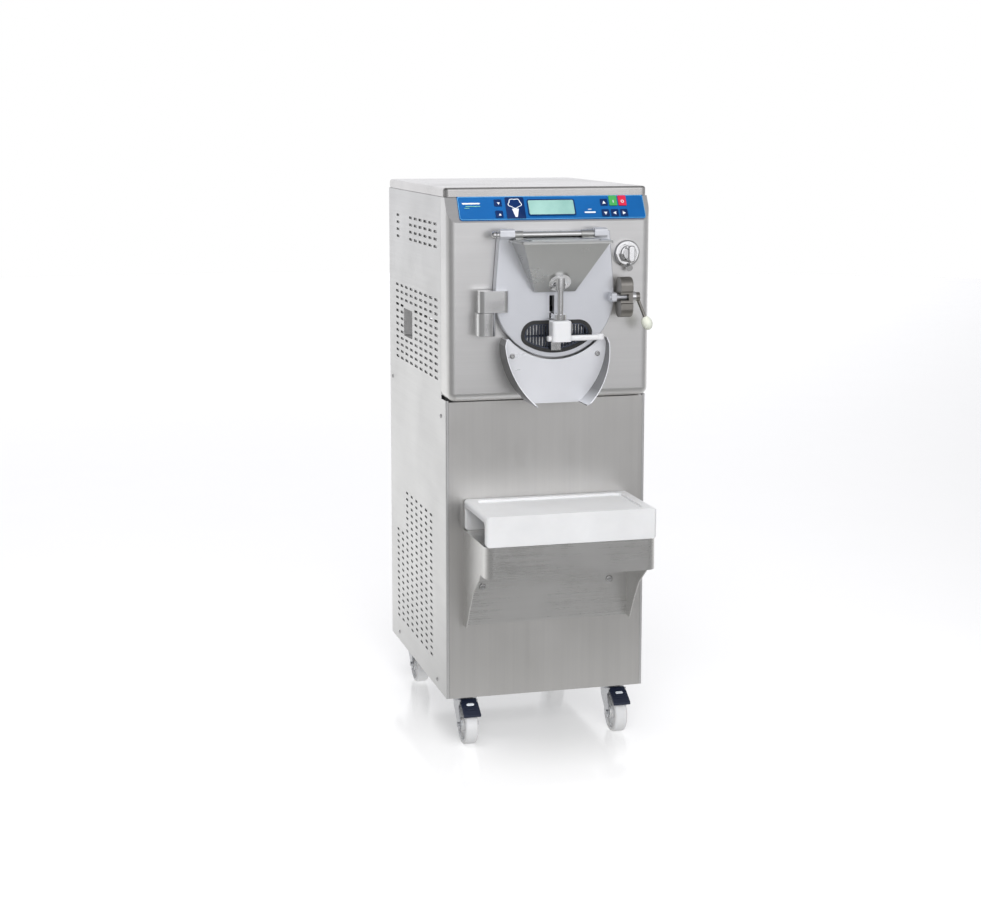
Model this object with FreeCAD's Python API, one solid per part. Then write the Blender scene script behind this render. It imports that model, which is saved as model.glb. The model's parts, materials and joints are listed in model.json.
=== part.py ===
# Floor-standing batch freezer for ice cream: castor base, sheet steel cabinet, horizontal
# freezing cylinder behind a hinged front door with hopper and gate, chute and pan shelf.
#
# Millimetres, +Z up, the machine faces -Y.  While modelling, Y is measured from the lower
# front panel (positive to the rear) and Z from the floor.  save() moves every piece along Y
# so that the origin lies on the floor under the middle of the machine.
import FreeCAD, Part
import math
import os

V = FreeCAD.Vector

# ---- driving dimensions ------------------------------------------------------------------
WIDTH = 510.0            # cabinet, side to side
DEPTH = 650.0            # cabinet, lower front panel to rear panel
HEIGHT = 1386.0          # floor to the top of the lid
BASE_Z = 126.0           # underside of the cabinet
LID_T = 22.0             # height of the pressed top lid
SHEET = 1.5              # cabinet sheet
HOUSING_Z = 873.0        # underside of the upper front housing
HOUSING_OUT = 28.0       # how far the upper housing stands ahead of the lower panel
SEAM_Y = 46.0            # where the upper housing's side returns meet the side panels
SEAM_GAP = 0.8           # open seam between them
FOLD_Z = 1304.0          # bottom fold of the sloping control fascia
LIP_Y = 6.0              # front edge of the lid
LID_GAP = 1.0            # shadow line between the lid and what it covers
FIT = 0.05               # radial clearance of a running fit
GAP = 0.4                # clearance between pieces that move past each other

DOOR_X = 3.0             # middle of the door
DOOR_Z = 1128.0          # centre of the door's round lower end
DOOR_R = 150.0
DOOR_TOP = 1282.0
DOOR_TOP_HALF = 138.0    # half width at the top edge
DOOR_BACK = -31.0        # rear face
DOOR_FRONT = -56.0       # front face
CYL_Z = 1122.0           # axis of the freezing cylinder
CYL_R = 125.0            # its bore
CYL_END = 330.0          # rear end of the bore
SHAFT_R = 15.0           # beater shaft

OUTLET_X = 8.0           # middle of the outlet
OUTLET_HALF = 90.0
OUTLET_TOP = 1069.0
OUTLET_R = 138.0         # its lower edge, concentric with the door
OUTLET_SEAL = 9.0        # width of the rubber ring around it
GATE_LIFT = 40.0         # travel of the gate
GATE_X = 3.0             # gate rod
GATE_Y = -100.0
LINK_X = -5.0            # link through the door
LINK_Z = 1081.0

HINGE_X = -171.5         # door hinge axis
HINGE_Y = -60.0
HINGE_Z = 1092.0         # where the two knuckles meet
LID_Y = -66.0            # axis of the hopper lid's rod
LID_Z = 1276.0
LOCK_Y = -79.0           # axis of the door lock
LOCK_Z = 1123.0
LOCK_X = 156.0           # left face of the lock cam
LOCK_W = 31.0
TAP_X = 191.0            # wash tap
TAP_Z = 1225.0

SHELF_HALF = 212.0       # pan shelf
SHELF_Z = 555.0          # top of its bracket
SHELF_OUT = 222.0
TRAY_H = 74.0

CASTOR_X = 195.0         # castor swivel axes
CASTOR_Y = (59.0, 604.0)
CASTOR_LEAD = 33.0       # swivel axis to wheel axis
WHEEL_R = 50.0

REAR_FITTINGS = 26.0     # how far the hose tail and gland stand behind the cabinet
ORIGIN_Y = (DEPTH + REAR_FITTINGS - SHELF_OUT) / 2

HALF = WIDTH / 2
LID_Z0 = HEIGHT - LID_T
FACE = -HOUSING_OUT


# ---- helpers -----------------------------------------------------------------------------
def box(x, y, z):
    """Block between the given (low, high) pairs."""
    return Part.makeBox(x[1] - x[0], y[1] - y[0], z[1] - z[0], V(x[0], y[0], z[0]))


def rod(start, end, radius):
    """Round bar between two points."""
    axis = V(*end) - V(*start)
    return Part.makeCylinder(radius, axis.Length, V(*start), axis)


def tube(start, end, outer, inner):
    return rod(start, end, outer).cut(rod(start, end, inner))


def prism(points, direction):
    """Closed polygon of points pushed along a vector."""
    wire = Part.makePolygon([V(*p) for p in points] + [V(*points[0])])
    return Part.Face(wire).extrude(V(*direction))


def side_prism(points, x0, x1):
    """Polygon of (y, z) points pushed from x0 to x1."""
    return prism([(x0, y, z) for y, z in points], (x1 - x0, 0, 0))


def front_prism(points, y0, y1):
    """Polygon of (x, z) points pushed from y0 to y1."""
    return prism([(x, y0, z) for x, z in points], (0, y1 - y0, 0))


def fuse(shapes):
    return shapes[0].multiFuse(shapes[1:]).removeSplitter()


def group(shapes):
    return Part.makeCompound(shapes)


def edges_along(shape, direction, where=lambda c: True):
    """Straight edges parallel to a direction whose middle passes a test."""
    found = []
    for edge in shape.Edges:
        if edge.Curve.TypeId != "Part::GeomLine":
            continue
        along = edge.Vertexes[1].Point - edge.Vertexes[0].Point
        if along.cross(V(*direction)).Length < 1e-6 * along.Length and where(edge.CenterOfMass):
            found.append(edge)
    return found


def mirrored(shape):
    return shape.mirror(V(0, 0, 0), V(1, 0, 0))


def save(name, shape):
    shape = shape.copy()
    shape.translate(V(0, -ORIGIN_Y, 0))
    assert shape.isValid(), name
    shape.exportStep("parts/" + name + ".step")


# ---- chassis and cabinet -----------------------------------------------------------------
FRAME = 25.0             # square tube of the chassis
FRAME_WALL = 2.5
FRAME_X = HALF - 12.0    # outer faces of the chassis posts
FRAME_Y = (50.0, DEPTH - 12.0)
FLOOR_Z = BASE_Z + 3.0   # top of the base pan
FRAME_Z = (FLOOR_Z, LID_Z0 - 8.0)
MOTOR_DECK_Z = 700.0
SUCTION_X = 190.0        # suction pipe's drop through the motor deck
SUCTION_Y = 250.0


def frame_bars(inset, above):
    """Posts and rails of the welded frame; inset and above give the hollow inside the tubes."""
    front, rear = FRAME_Y
    levels = (FRAME_Z[0], MOTOR_DECK_Z - FRAME, FRAME_Z[1] - FRAME)
    bars = []
    for side in (-1, 1):
        xs = sorted((side * (FRAME_X - FRAME + inset), side * (FRAME_X - inset)))
        for y in (front, rear - FRAME):
            bars.append(box(xs, (y + inset, y + FRAME - inset), (FRAME_Z[0] + inset, FRAME_Z[1] + above)))
        for z in levels:
            bars.append(box(xs, (front + inset, rear - inset), (z + inset, z + FRAME - inset)))
    for y in (front, rear - FRAME):
        for z in levels:
            bars.append(box((-FRAME_X + inset, FRAME_X - inset), (y + inset, y + FRAME - inset),
                            (z + inset, z + FRAME - inset)))
    return fuse(bars)


def chassis_frame():
    """Welded square tube with the base pan and the motor deck; the posts are open on top."""
    tubes = frame_bars(0, 0).cut(frame_bars(FRAME_WALL, 1.0))
    deck = box((-FRAME_X, FRAME_X), (125.0, 420.0), (MOTOR_DECK_Z, MOTOR_DECK_Z + 3.0))
    pan = box((-HALF + SHEET, HALF - SHEET), (SHEET + 2.5, DEPTH - SHEET), (BASE_Z, FLOOR_Z))
    pipe_hole = rod((SUCTION_X, SUCTION_Y, MOTOR_DECK_Z - 1), (SUCTION_X, SUCTION_Y, MOTOR_DECK_Z + 4), 11.0)
    drain = rod((0, 300.0, BASE_Z - 1), (0, 300.0, FLOOR_Z + 1), 12.0)
    return fuse([tubes, deck, pan]).cut(group([pipe_hole, drain]))


def slot(y, z, length, height):
    """Cutter for one round-ended horizontal vent slot through the left side panel."""
    r = height / 2
    x0 = -HALF - 1
    y0 = y - length / 2 + r
    y1 = y + length / 2 - r
    lower = [Part.LineSegment(V(x0, y0, z - r), V(x0, y1, z - r)).toShape()]
    front = [Part.Arc(V(x0, y1, z - r), V(x0, y1 + r, z), V(x0, y1, z + r)).toShape()]
    upper = [Part.LineSegment(V(x0, y1, z + r), V(x0, y0, z + r)).toShape()]
    rear = [Part.Arc(V(x0, y0, z + r), V(x0, y0 - r, z), V(x0, y0, z - r)).toShape()]
    return Part.Face(Part.Wire(lower + front + upper + rear)).extrude(V(SHEET + 2, 0, 0))


VENT_PITCH_Y = 55.5      # vents: distance between columns
VENT_SLOT = (36.0, 6.5)  # upper vents: length and height of a slot
LOW_SLOT = (26.0, 6.0)
TOP_VENT_Y = 104.0       # first column of the topmost field
TOP_VENT_Z = 1295.0
MID_VENT_Y = 98.0
MID_VENT_Z = 1110.0
LOW_VENT_Y = 163.0
LOW_VENT_Z = 559.0
GRIP_Y = (367.0, 472.0)  # recessed hand grip
GRIP_Z = (979.0, 1055.0)
GRIP_DEPTH = 22.0


def vent_slots():
    slots = []
    for row in range(4):
        z = TOP_VENT_Z - 18.5 * row
        for column in (0, 1, 2, 3, 4, 5, 7.8):
            slots.append(slot(TOP_VENT_Y + VENT_PITCH_Y * column, z, *VENT_SLOT))
    for row in range(12):
        z = MID_VENT_Z - 17.6 * row
        for column in range(9):
            y = MID_VENT_Y + 56.5 * column
            beside_grip = GRIP_Y[0] - 24 < y < GRIP_Y[1] + 10
            if beside_grip and GRIP_Z[0] - 8 < z < GRIP_Z[1] + 8:
                continue
            slots.append(slot(y, z, *VENT_SLOT))
    for row in range(22):
        z = LOW_VENT_Z - 17.25 * row
        for column in range(8):
            if column > 5 and row < 7:
                continue
            slots.append(slot(LOW_VENT_Y + 56.5 * column, z, *LOW_SLOT))
    return slots


def side_panel():
    """Left panel: flat sheet, small return round the lower front corner, vents, hand grip."""
    top = LID_Z0 - LID_GAP
    outline = [(SHEET, BASE_Z), (DEPTH, BASE_Z), (DEPTH, top), (SEAM_Y + SEAM_GAP, top),
               (SEAM_Y + SEAM_GAP, HOUSING_Z), (0, HOUSING_Z), (0, BASE_Z)]
    blank = side_prism(outline, -HALF, -HALF + SHEET)
    corner = box((-HALF, -HALF + 7.0), (0, 7.0), (BASE_Z, HOUSING_Z))
    corner = corner.makeFillet(4.0, edges_along(corner, (0, 0, 1), lambda c: c.x < -HALF + 1 and c.y < 1))
    inner = box((-HALF + SHEET, -HALF + 8.0), (SHEET, 8.0), (BASE_Z - 1, HOUSING_Z + 1))
    inner = inner.makeFillet(2.5, edges_along(inner, (0, 0, 1), lambda c: c.x < -HALF + 2 and c.y < 2))
    square = box((-HALF - 1, -HALF + 7.0), (-1, 7.0), (BASE_Z - 1, HOUSING_Z))
    panel = fuse([blank.cut(square), corner.cut(inner)])
    cup = box((-HALF, -HALF + GRIP_DEPTH), GRIP_Y, GRIP_Z)
    cup = cup.makeFillet(8.0, edges_along(cup, (1, 0, 0)))
    wall = 1.5
    hollow = box((-HALF - 1, -HALF + GRIP_DEPTH - wall),
                 (GRIP_Y[0] + wall, GRIP_Y[1] - wall), (GRIP_Z[0] + wall, GRIP_Z[1] - wall))
    hollow = hollow.makeFillet(6.5, edges_along(hollow, (1, 0, 0)))
    panel = fuse([panel, cup]).cut(hollow)
    return panel.cut(group(vent_slots()))


def rear_panel():
    sheet = box((-HALF + SHEET, HALF - SHEET), (DEPTH - SHEET, DEPTH), (BASE_Z, LID_Z0 - LID_GAP))
    cuts = []
    for row in range(14):
        for column in range(6):
            x0 = -185.0 + 63.0 * column
            z0 = 700.0 + 30.0 * row
            cuts.append(box((x0, x0 + 52.0), (DEPTH - 3, DEPTH + 1), (z0, z0 + 6.0)))
    cuts.append(rod((WATER_X, DEPTH - 3, FITTING_Z), (WATER_X, DEPTH + 1, FITTING_Z), 11.0))
    cuts.append(rod((GLAND_X, DEPTH - 3, FITTING_Z), (GLAND_X, DEPTH + 1, FITTING_Z), 10.3))
    return sheet.cut(group(cuts))


def top_lid():
    outer = box((-HALF, HALF), (LIP_Y, DEPTH), (LID_Z0, HEIGHT))
    outer = outer.makeFillet(14.0, edges_along(outer, (0, 0, 1)))
    rim = [e for e in outer.Edges if abs(e.CenterOfMass.z - HEIGHT) < 0.01]
    outer = outer.makeFillet(7.0, rim)
    inner = box((-HALF + 2, HALF - 2), (LIP_Y + 2, DEPTH - 2), (LID_Z0 - 1, HEIGHT - 2))
    inner = inner.makeFillet(12.0, edges_along(inner, (0, 0, 1)))
    return outer.cut(inner)


def lower_front_panel():
    sheet = box((-HALF + 7.5, HALF - 7.5), (0, SHEET), (BASE_Z, HOUSING_Z - 4))
    top_fold = box((-HALF + 7.5, HALF - 7.5), (0, 30.0), (HOUSING_Z - 4 - SHEET, HOUSING_Z - 4))
    bottom_fold = box((-HALF + 7.5, HALF - 7.5), (0, 30.0), (BASE_Z + 3, BASE_Z + 3 + SHEET))
    return fuse([sheet, top_fold, bottom_fold])


def housing_block(inset):
    """Outer form of the upper front housing, or its inside when inset is the sheet."""
    rear = SEAM_Y + (1.0 if inset else 0.0)
    top = LID_Z0 - LID_GAP - inset
    slope_y = FACE + inset
    shape = side_prism([(rear, HOUSING_Z + inset), (slope_y, HOUSING_Z + inset), (slope_y, FOLD_Z),
                        (LIP_Y + 1 + inset, top), (rear, top)], -HALF + inset, HALF - inset)
    upright = edges_along(shape, (0, 0, 1), lambda c: c.y < 0)
    shape = shape.makeFillet(22.0 - inset, upright)
    lower = [e for e in shape.Edges if abs(e.CenterOfMass.z - HOUSING_Z - inset) < 0.01
             and e.CenterOfMass.y < SEAM_Y - 1]
    return shape.makeFillet(20.0 - inset, lower)


def upper_front_housing():
    shell = housing_block(0).cut(housing_block(2.0))
    mouth = rod((DOOR_X, FACE - 5, CYL_Z), (DOOR_X, FACE + 5, CYL_Z), CYL_R + 16.0)
    keys = [key_cutter(x) for x in KEY_X]
    return shell.cut(group([mouth] + keys))


# ---- control fascia ----------------------------------------------------------------------
SLOPE = math.degrees(math.atan2(LID_Z0 - FOLD_Z, LIP_Y + 1 - FACE))
LABEL_X = (-225.0, 243.0)
LABEL_S = (5.0, 69.0)    # distance up the slope from the fold
LABEL_T = 1.2
KEY_X = (164.5, 188.0)
KEY_S = 53.5
KEY_SIZE = (20.0, 27.0)  # width and height of a key
WINDOW_X = (-51.0, 64.0)
WINDOW_S = (17.5, 57.5)


def on_slope(shape):
    """Place a piece drawn flat: X stays, Y runs up the slope from the fold, Z stands out."""
    shape.rotate(V(0, 0, 0), V(1, 0, 0), SLOPE)
    shape.translate(V(0, FACE, FOLD_Z))
    return shape


def key_block(x, spare, z):
    """Block the size of a key, with spare room added all round."""
    half = KEY_SIZE[0] / 2 + spare
    rise = KEY_SIZE[1] / 2 + spare
    return box((x - half, x + half), (KEY_S - rise, KEY_S + rise), z)


def key_cutter(x):
    return on_slope(key_block(x, GAP, (-6.0, 4.0)))


def control_label():
    sheet = box(LABEL_X, LABEL_S, (0, LABEL_T))
    sheet = sheet.makeFillet(7.0, edges_along(sheet, (0, 0, 1), lambda c: c.y < 20))
    window = box(WINDOW_X, WINDOW_S, (-1, LABEL_T + 1))
    window = window.makeFillet(4.0, edges_along(window, (0, 0, 1)))
    return on_slope(sheet.cut(window)).cut(group([key_cutter(x) for x in KEY_X]))


def display_window():
    window = box(WINDOW_X, WINDOW_S, (0, LABEL_T + 0.6))
    return on_slope(window.makeFillet(4.0, edges_along(window, (0, 0, 1))))


def push_key(x):
    cap = key_block(x, 0, (-3.0, LABEL_T + 2.0))
    return on_slope(cap.makeFillet(2.0, edges_along(cap, (0, 0, 1))))


# ---- freezing cylinder, beater and drive -------------------------------------------------
PULLEY_Y = (405.0, 430.0)
DRIVEN_R = 95.0
MOTOR_PULLEY_R = 38.0
MOTOR_Z = 800.0
MOTOR_R = 88.0
MOTOR_SHAFT_R = 14.0


def along_y(y0, y1, z, radius):
    return rod((DOOR_X, y0, z), (DOOR_X, y1, z), radius)


def freezing_cylinder():
    wall = along_y(FACE, CYL_END + 8, CYL_Z, CYL_R + 3)
    flange = along_y(FACE - 1.5, FACE + 8, CYL_Z, CYL_R + 14)
    bore = along_y(FACE - 3, CYL_END, CYL_Z, CYL_R)
    shaft_hole = along_y(CYL_END - 1, CYL_END + 9, CYL_Z, SHAFT_R + FIT)
    return fuse([wall, flange]).cut(bore).cut(shaft_hole)


def cylinder_insulation():
    return along_y(-5, CYL_END, CYL_Z, CYL_R + 36).cut(along_y(-6, CYL_END + 1, CYL_Z, CYL_R + 3))


def bearing_housing():
    body = fuse([along_y(CYL_END + 8, CYL_END + 20, CYL_Z, 62.0),
                 along_y(CYL_END + 20, CYL_END + 66, CYL_Z, 42.0)])
    return body.cut(along_y(CYL_END, CYL_END + 70, CYL_Z, SHAFT_R + FIT))


def beater():
    """Shaft, two three-armed spiders and three skewed blades that sweep the cylinder wall."""
    reach = CYL_R - 9.0
    pieces = [along_y(4, PULLEY_Y[1] - 2, CYL_Z, SHAFT_R), along_y(-6, 34, CYL_Z, 24.0)]
    for arm in range(3):
        angle = math.radians(120 * arm + 30)
        for y, lag in ((8.0, 0.0), (CYL_END - 40, -26.0)):
            turn = angle + math.radians(lag)
            tip = (DOOR_X + reach * math.cos(turn), y + 9, CYL_Z + reach * math.sin(turn))
            pieces.append(rod((DOOR_X, y + 9, CYL_Z), tip, 8.0))
        lag = math.radians(-26.0)
        start = (DOOR_X + reach * math.cos(angle), 0, CYL_Z + reach * math.sin(angle))
        end = (DOOR_X + reach * math.cos(angle + lag), CYL_END - 14,
               CYL_Z + reach * math.sin(angle + lag))
        pieces.append(rod(start, end, 7.0))
    return fuse(pieces)


def pulley(z, radius, groove=6.0):
    y0, y1 = PULLEY_Y
    body = along_y(y0, y1, z, radius + 5)
    channel = along_y(y0 + 3, y1 - 3, z, radius + 6).cut(along_y(y0 + 2, y1 - 2, z, radius))
    return body.cut(channel)


def driven_pulley():
    body = pulley(CYL_Z, DRIVEN_R).cut(along_y(PULLEY_Y[0] - 1, PULLEY_Y[1] + 1, CYL_Z, SHAFT_R))
    windows = []
    for spoke in range(5):
        angle = math.radians(72 * spoke)
        x = DOOR_X + 56 * math.cos(angle)
        z = CYL_Z + 56 * math.sin(angle)
        windows.append(rod((x, PULLEY_Y[0] - 1, z), (x, PULLEY_Y[1] + 1, z), 20.0))
    return body.cut(group(windows))


def motor_pulley():
    return fuse([pulley(MOTOR_Z, MOTOR_PULLEY_R), along_y(352, PULLEY_Y[1], MOTOR_Z, MOTOR_SHAFT_R)])


def belt_path(extra):
    """Area inside a belt that stands extra off both pulleys, as a solid the belt's width."""
    y0, y1 = PULLEY_Y[0] + 4, PULLEY_Y[1] - 4
    big = DRIVEN_R + extra
    small = MOTOR_PULLEY_R + extra
    lean = math.asin((big - small) / (CYL_Z - MOTOR_Z))
    cos, sin = math.cos(lean), math.sin(lean)
    sides = [(DOOR_X - big * cos, CYL_Z - big * sin), (DOOR_X - small * cos, MOTOR_Z - small * sin),
             (DOOR_X + small * cos, MOTOR_Z - small * sin), (DOOR_X + big * cos, CYL_Z - big * sin)]
    return fuse([along_y(y0, y1, CYL_Z, big), along_y(y0, y1, MOTOR_Z, small),
                 front_prism(sides, y0, y1)])


def drive_belt():
    return belt_path(4.6).cut(belt_path(0.6))


def motor():
    body = along_y(165, 350, MOTOR_Z, MOTOR_R)
    ribs = [along_y(175 + 19 * i, 181 + 19 * i, MOTOR_Z, MOTOR_R + 5) for i in range(9)]
    bell = along_y(350, 385, MOTOR_Z, MOTOR_R - 16)
    fan_cover = along_y(130, 165, MOTOR_Z, MOTOR_R - 6)
    feet = box((DOOR_X - 80, DOOR_X + 80), (190, 320), (MOTOR_DECK_Z + 3, MOTOR_Z - 60))
    terminal = box((DOOR_X + 50, DOOR_X + 125), (190, 290), (MOTOR_Z - 40, MOTOR_Z + 40))
    shaft_hole = along_y(345, 386, MOTOR_Z, MOTOR_SHAFT_R + FIT)
    return fuse([body, bell, fan_cover, feet, terminal] + ribs).cut(shaft_hole)


# ---- refrigeration and services ----------------------------------------------------------
COMP_X = 95.0
COMP_Y = 420.0
COMP_R = 88.0
COND_X = (-217.0, -172.0)
COND_Y = (150.0, 560.0)
COND_Z = (175.0, 565.0)
FAN_X = -135.0
FAN_Y = 355.0
FAN_Z = 370.0
FAN_R = 150.0
WATER_X = -150.0
GLAND_X = 150.0
FITTING_Z = 250.0
HOSE_TAIL_R = 10.45
GLAND_BORE_R = 6.5
PIPE_END_Z = CYL_Z - CYL_R - 31


def compressor():
    can = rod((COMP_X, COMP_Y, FLOOR_Z + 20), (COMP_X, COMP_Y, FLOOR_Z + 245), COMP_R)
    can = can.makeFillet(30.0, [e for e in can.Edges if e.Curve.TypeId == "Part::GeomCircle"])
    feet = box((COMP_X - 95, COMP_X + 95), (COMP_Y - 95, COMP_Y + 95), (FLOOR_Z + 12, FLOOR_Z + 28))
    pads = [rod((COMP_X + 80 * i, COMP_Y + 80 * j, FLOOR_Z), (COMP_X + 80 * i, COMP_Y + 80 * j, FLOOR_Z + 12), 14.0)
            for i in (-1, 1) for j in (-1, 1)]
    box_x = COMP_X + COMP_R - 4
    terminal = box((box_x - 10, box_x + 32), (COMP_Y - 35, COMP_Y + 35), (FLOOR_Z + 120, FLOOR_Z + 190))
    return fuse([can, feet, terminal] + pads)


def condenser():
    core = box(COND_X, COND_Y, COND_Z)
    pitch = 13.0
    cuts = []
    z = COND_Z[0] + 10
    while z < COND_Z[1] - 10:
        cuts.append(box((COND_X[0] - 1, COND_X[0] + 14), (COND_Y[0] + 8, COND_Y[1] - 8), (z, z + pitch - 3)))
        cuts.append(box((COND_X[1] - 14, COND_X[1] + 1), (COND_Y[0] + 8, COND_Y[1] - 8), (z, z + pitch - 3)))
        z += pitch
    legs = [box(COND_X, (y, y + 24), (FLOOR_Z, COND_Z[0])) for y in (COND_Y[0] + 10, COND_Y[1] - 34)]
    return fuse([core.cut(group(cuts))] + legs)


def fan_shroud():
    plate = box((COND_X[1], COND_X[1] + 3), (COND_Y[0], COND_Y[1]), COND_Z)
    ring = rod((COND_X[1], FAN_Y, FAN_Z), (FAN_X + 20, FAN_Y, FAN_Z), FAN_R + 9)
    mouth = rod((COND_X[1] - 1, FAN_Y, FAN_Z), (FAN_X + 21, FAN_Y, FAN_Z), FAN_R + 5)
    frame = fuse([plate, ring]).cut(mouth)
    bar_x = (FAN_X + 20, FAN_X + 26)
    bars = [box(bar_x, (FAN_Y - FAN_R - 9, FAN_Y + FAN_R + 9), (FAN_Z - 12, FAN_Z + 12)),
            box(bar_x, (FAN_Y - 12, FAN_Y + 12), (FAN_Z - FAN_R - 9, FAN_Z + FAN_R + 9))]
    can = rod((FAN_X + 20, FAN_Y, FAN_Z), (FAN_X + 82, FAN_Y, FAN_Z), 40.0)
    pin_hole = rod((FAN_X + 19, FAN_Y, FAN_Z), (FAN_X + 60, FAN_Y, FAN_Z), 5 + FIT)
    return fuse([frame, can] + bars).cut(pin_hole)


def condenser_fan():
    hub = rod((FAN_X - 14, FAN_Y, FAN_Z), (FAN_X + 14, FAN_Y, FAN_Z), 34.0)
    pin = rod((FAN_X, FAN_Y, FAN_Z), (FAN_X + 55, FAN_Y, FAN_Z), 5.0)
    blades = []
    for index in range(5):
        blade = box((FAN_X - 2, FAN_X + 2), (FAN_Y - 34, FAN_Y + 34), (FAN_Z + 20, FAN_Z + FAN_R - 8))
        blade.rotate(V(FAN_X, FAN_Y, FAN_Z), V(0, 0, 1), 24)
        blade.rotate(V(FAN_X, FAN_Y, FAN_Z), V(1, 0, 0), 72 * index)
        blades.append(blade)
    sweep = rod((FAN_X - 20, FAN_Y, FAN_Z), (FAN_X + 60, FAN_Y, FAN_Z), FAN_R)
    return fuse([hub, pin] + blades).common(sweep)


def pipe(points, radius, bend):
    """Round pipe through points, with an arc of the given bend radius at each corner."""
    pts = [V(*p) for p in points]
    edges = []
    start = pts[0]
    for index in range(1, len(pts) - 1):
        corner = pts[index]
        back = (pts[index - 1] - corner).normalize()
        ahead = (pts[index + 1] - corner).normalize()
        half = back.getAngle(ahead) / 2
        setback = bend / math.tan(half)
        p0 = corner + back * setback
        p1 = corner + ahead * setback
        middle = corner + (back + ahead).normalize() * (bend / math.sin(half) - bend)
        edges.append(Part.LineSegment(start, p0).toShape())
        edges.append(Part.Arc(p0, middle, p1).toShape())
        start = p1
    edges.append(Part.LineSegment(start, pts[-1]).toShape())
    section = Part.Wire(Part.Circle(pts[0], pts[1] - pts[0], radius).toShape())
    return Part.Wire(edges).makePipeShell([section], True, False)


def refrigerant_pipes():
    discharge = pipe([(COMP_X - 60, COMP_Y, FLOOR_Z + 247), (COMP_X - 60, COMP_Y, 480), (COMP_X - 60, 600, 480),
                      (-197, 600, 480), (-197, COND_Y[1] + 0.5, 480)], 5.0, 20.0)
    liquid = pipe([(-197, COND_Y[0] - 0.5, 220), (-197, 110, 220), (-197, 110, 915),
                   (-60, 110, 915), (-60, 110, PIPE_END_Z)], 4.0, 20.0)
    suction = pipe([(60, SUCTION_Y, PIPE_END_Z), (60, SUCTION_Y, 920), (SUCTION_X, SUCTION_Y, 920),
                    (SUCTION_X, SUCTION_Y, 460), (COMP_X + 55, 400, 460), (COMP_X + 55, 400, FLOOR_Z + 247)],
                   6.0, 20.0)
    drier = rod((-197, 110, 420), (-197, 110, 520), 15.0)
    return group([discharge, fuse([liquid, drier]), suction])


def electrical_box():
    case = box((150.0, 228.0), (345.0, 600.0), (1130.0, 1330.0))
    return case.makeFillet(4.0, edges_along(case, (0, 1, 0)))


def water_inlet():
    """Rear hose tail with a pipe thread's outer size."""
    tail = rod((WATER_X, DEPTH - 24, FITTING_Z), (WATER_X, DEPTH + REAR_FITTINGS, FITTING_Z), HOSE_TAIL_R)
    flats = prism([(WATER_X + 17 * math.cos(math.radians(60 * i)), DEPTH,
                    FITTING_Z + 17 * math.sin(math.radians(60 * i))) for i in range(6)], (0, 6, 0))
    bore = rod((WATER_X, DEPTH - 25, FITTING_Z), (WATER_X, DEPTH + REAR_FITTINGS + 1, FITTING_Z), 7.0)
    return fuse([tail, flats]).cut(bore)


def cable_gland():
    body = fuse([rod((GLAND_X, DEPTH - 14, FITTING_Z), (GLAND_X, DEPTH + 20, FITTING_Z), 10.0),
                 rod((GLAND_X, DEPTH, FITTING_Z), (GLAND_X, DEPTH + 5, FITTING_Z), 15.0),
                 rod((GLAND_X, DEPTH + 7, FITTING_Z), (GLAND_X, DEPTH + 22, FITTING_Z), 13.0)])
    bore = rod((GLAND_X, DEPTH - 15, FITTING_Z), (GLAND_X, DEPTH + 23, FITTING_Z), GLAND_BORE_R)
    return body.cut(bore)


# ---- door --------------------------------------------------------------------------------
def door_outline(inset, y0, y1):
    """Shield shape: flat top, sides that widen downwards, half-round lower end."""
    r = DOOR_R - inset
    half = DOOR_TOP_HALF - inset
    top = DOOR_TOP - inset
    corners = [V(DOOR_X - r, y0, DOOR_Z), V(DOOR_X - half, y0, top), V(DOOR_X + half, y0, top),
               V(DOOR_X + r, y0, DOOR_Z)]
    edges = [Part.LineSegment(corners[i], corners[i + 1]).toShape() for i in range(3)]
    edges.append(Part.Arc(corners[3], V(DOOR_X, y0, DOOR_Z - r), corners[0]).toShape())
    return Part.Face(Part.Wire(edges)).extrude(V(0, y1 - y0, 0))


def outlet_outline(inset, y0, y1):
    """Outlet shape: flat top, round corners, lower edge concentric with the door."""
    disc = rod((DOOR_X, y0, DOOR_Z), (DOOR_X, y1, DOOR_Z), OUTLET_R - inset)
    half = OUTLET_HALF - inset
    block = box((OUTLET_X - half, OUTLET_X + half), (y0, y1), (OUTLET_TOP - 140, OUTLET_TOP - inset))
    block = block.makeFillet(36.0 - inset, edges_along(block, (0, 1, 0), lambda c: c.z > OUTLET_TOP - 60))
    shape = disc.common(block)
    corner = edges_along(shape, (0, 1, 0), lambda c: c.z < OUTLET_TOP - 38 and abs(c.x - OUTLET_X) > half - 5)
    return shape.makeFillet(24.0 - inset, corner)


def gate_area(inset, y0, y1):
    """Gate plate and its upper tab, seen from the front."""
    tab = box((LINK_X - 12 + inset, LINK_X + 12 - inset), (y0, y1), (OUTLET_TOP - 20, LINK_Z + 8 - inset))
    return fuse([outlet_outline(4.5 + inset, y0, y1), tab])


PORT_X = 30.0            # half width of the filling port between hopper and cylinder
PORT_Z = (1146.0, 1166.0)


def seal_ring(y0, y1):
    """Ring that meets the cylinder's flange."""
    return along_y(y0, y1, CYL_Z, CYL_R + 12).cut(along_y(y0 - 1, y1 + 1, CYL_Z, CYL_R + 4))


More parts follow.
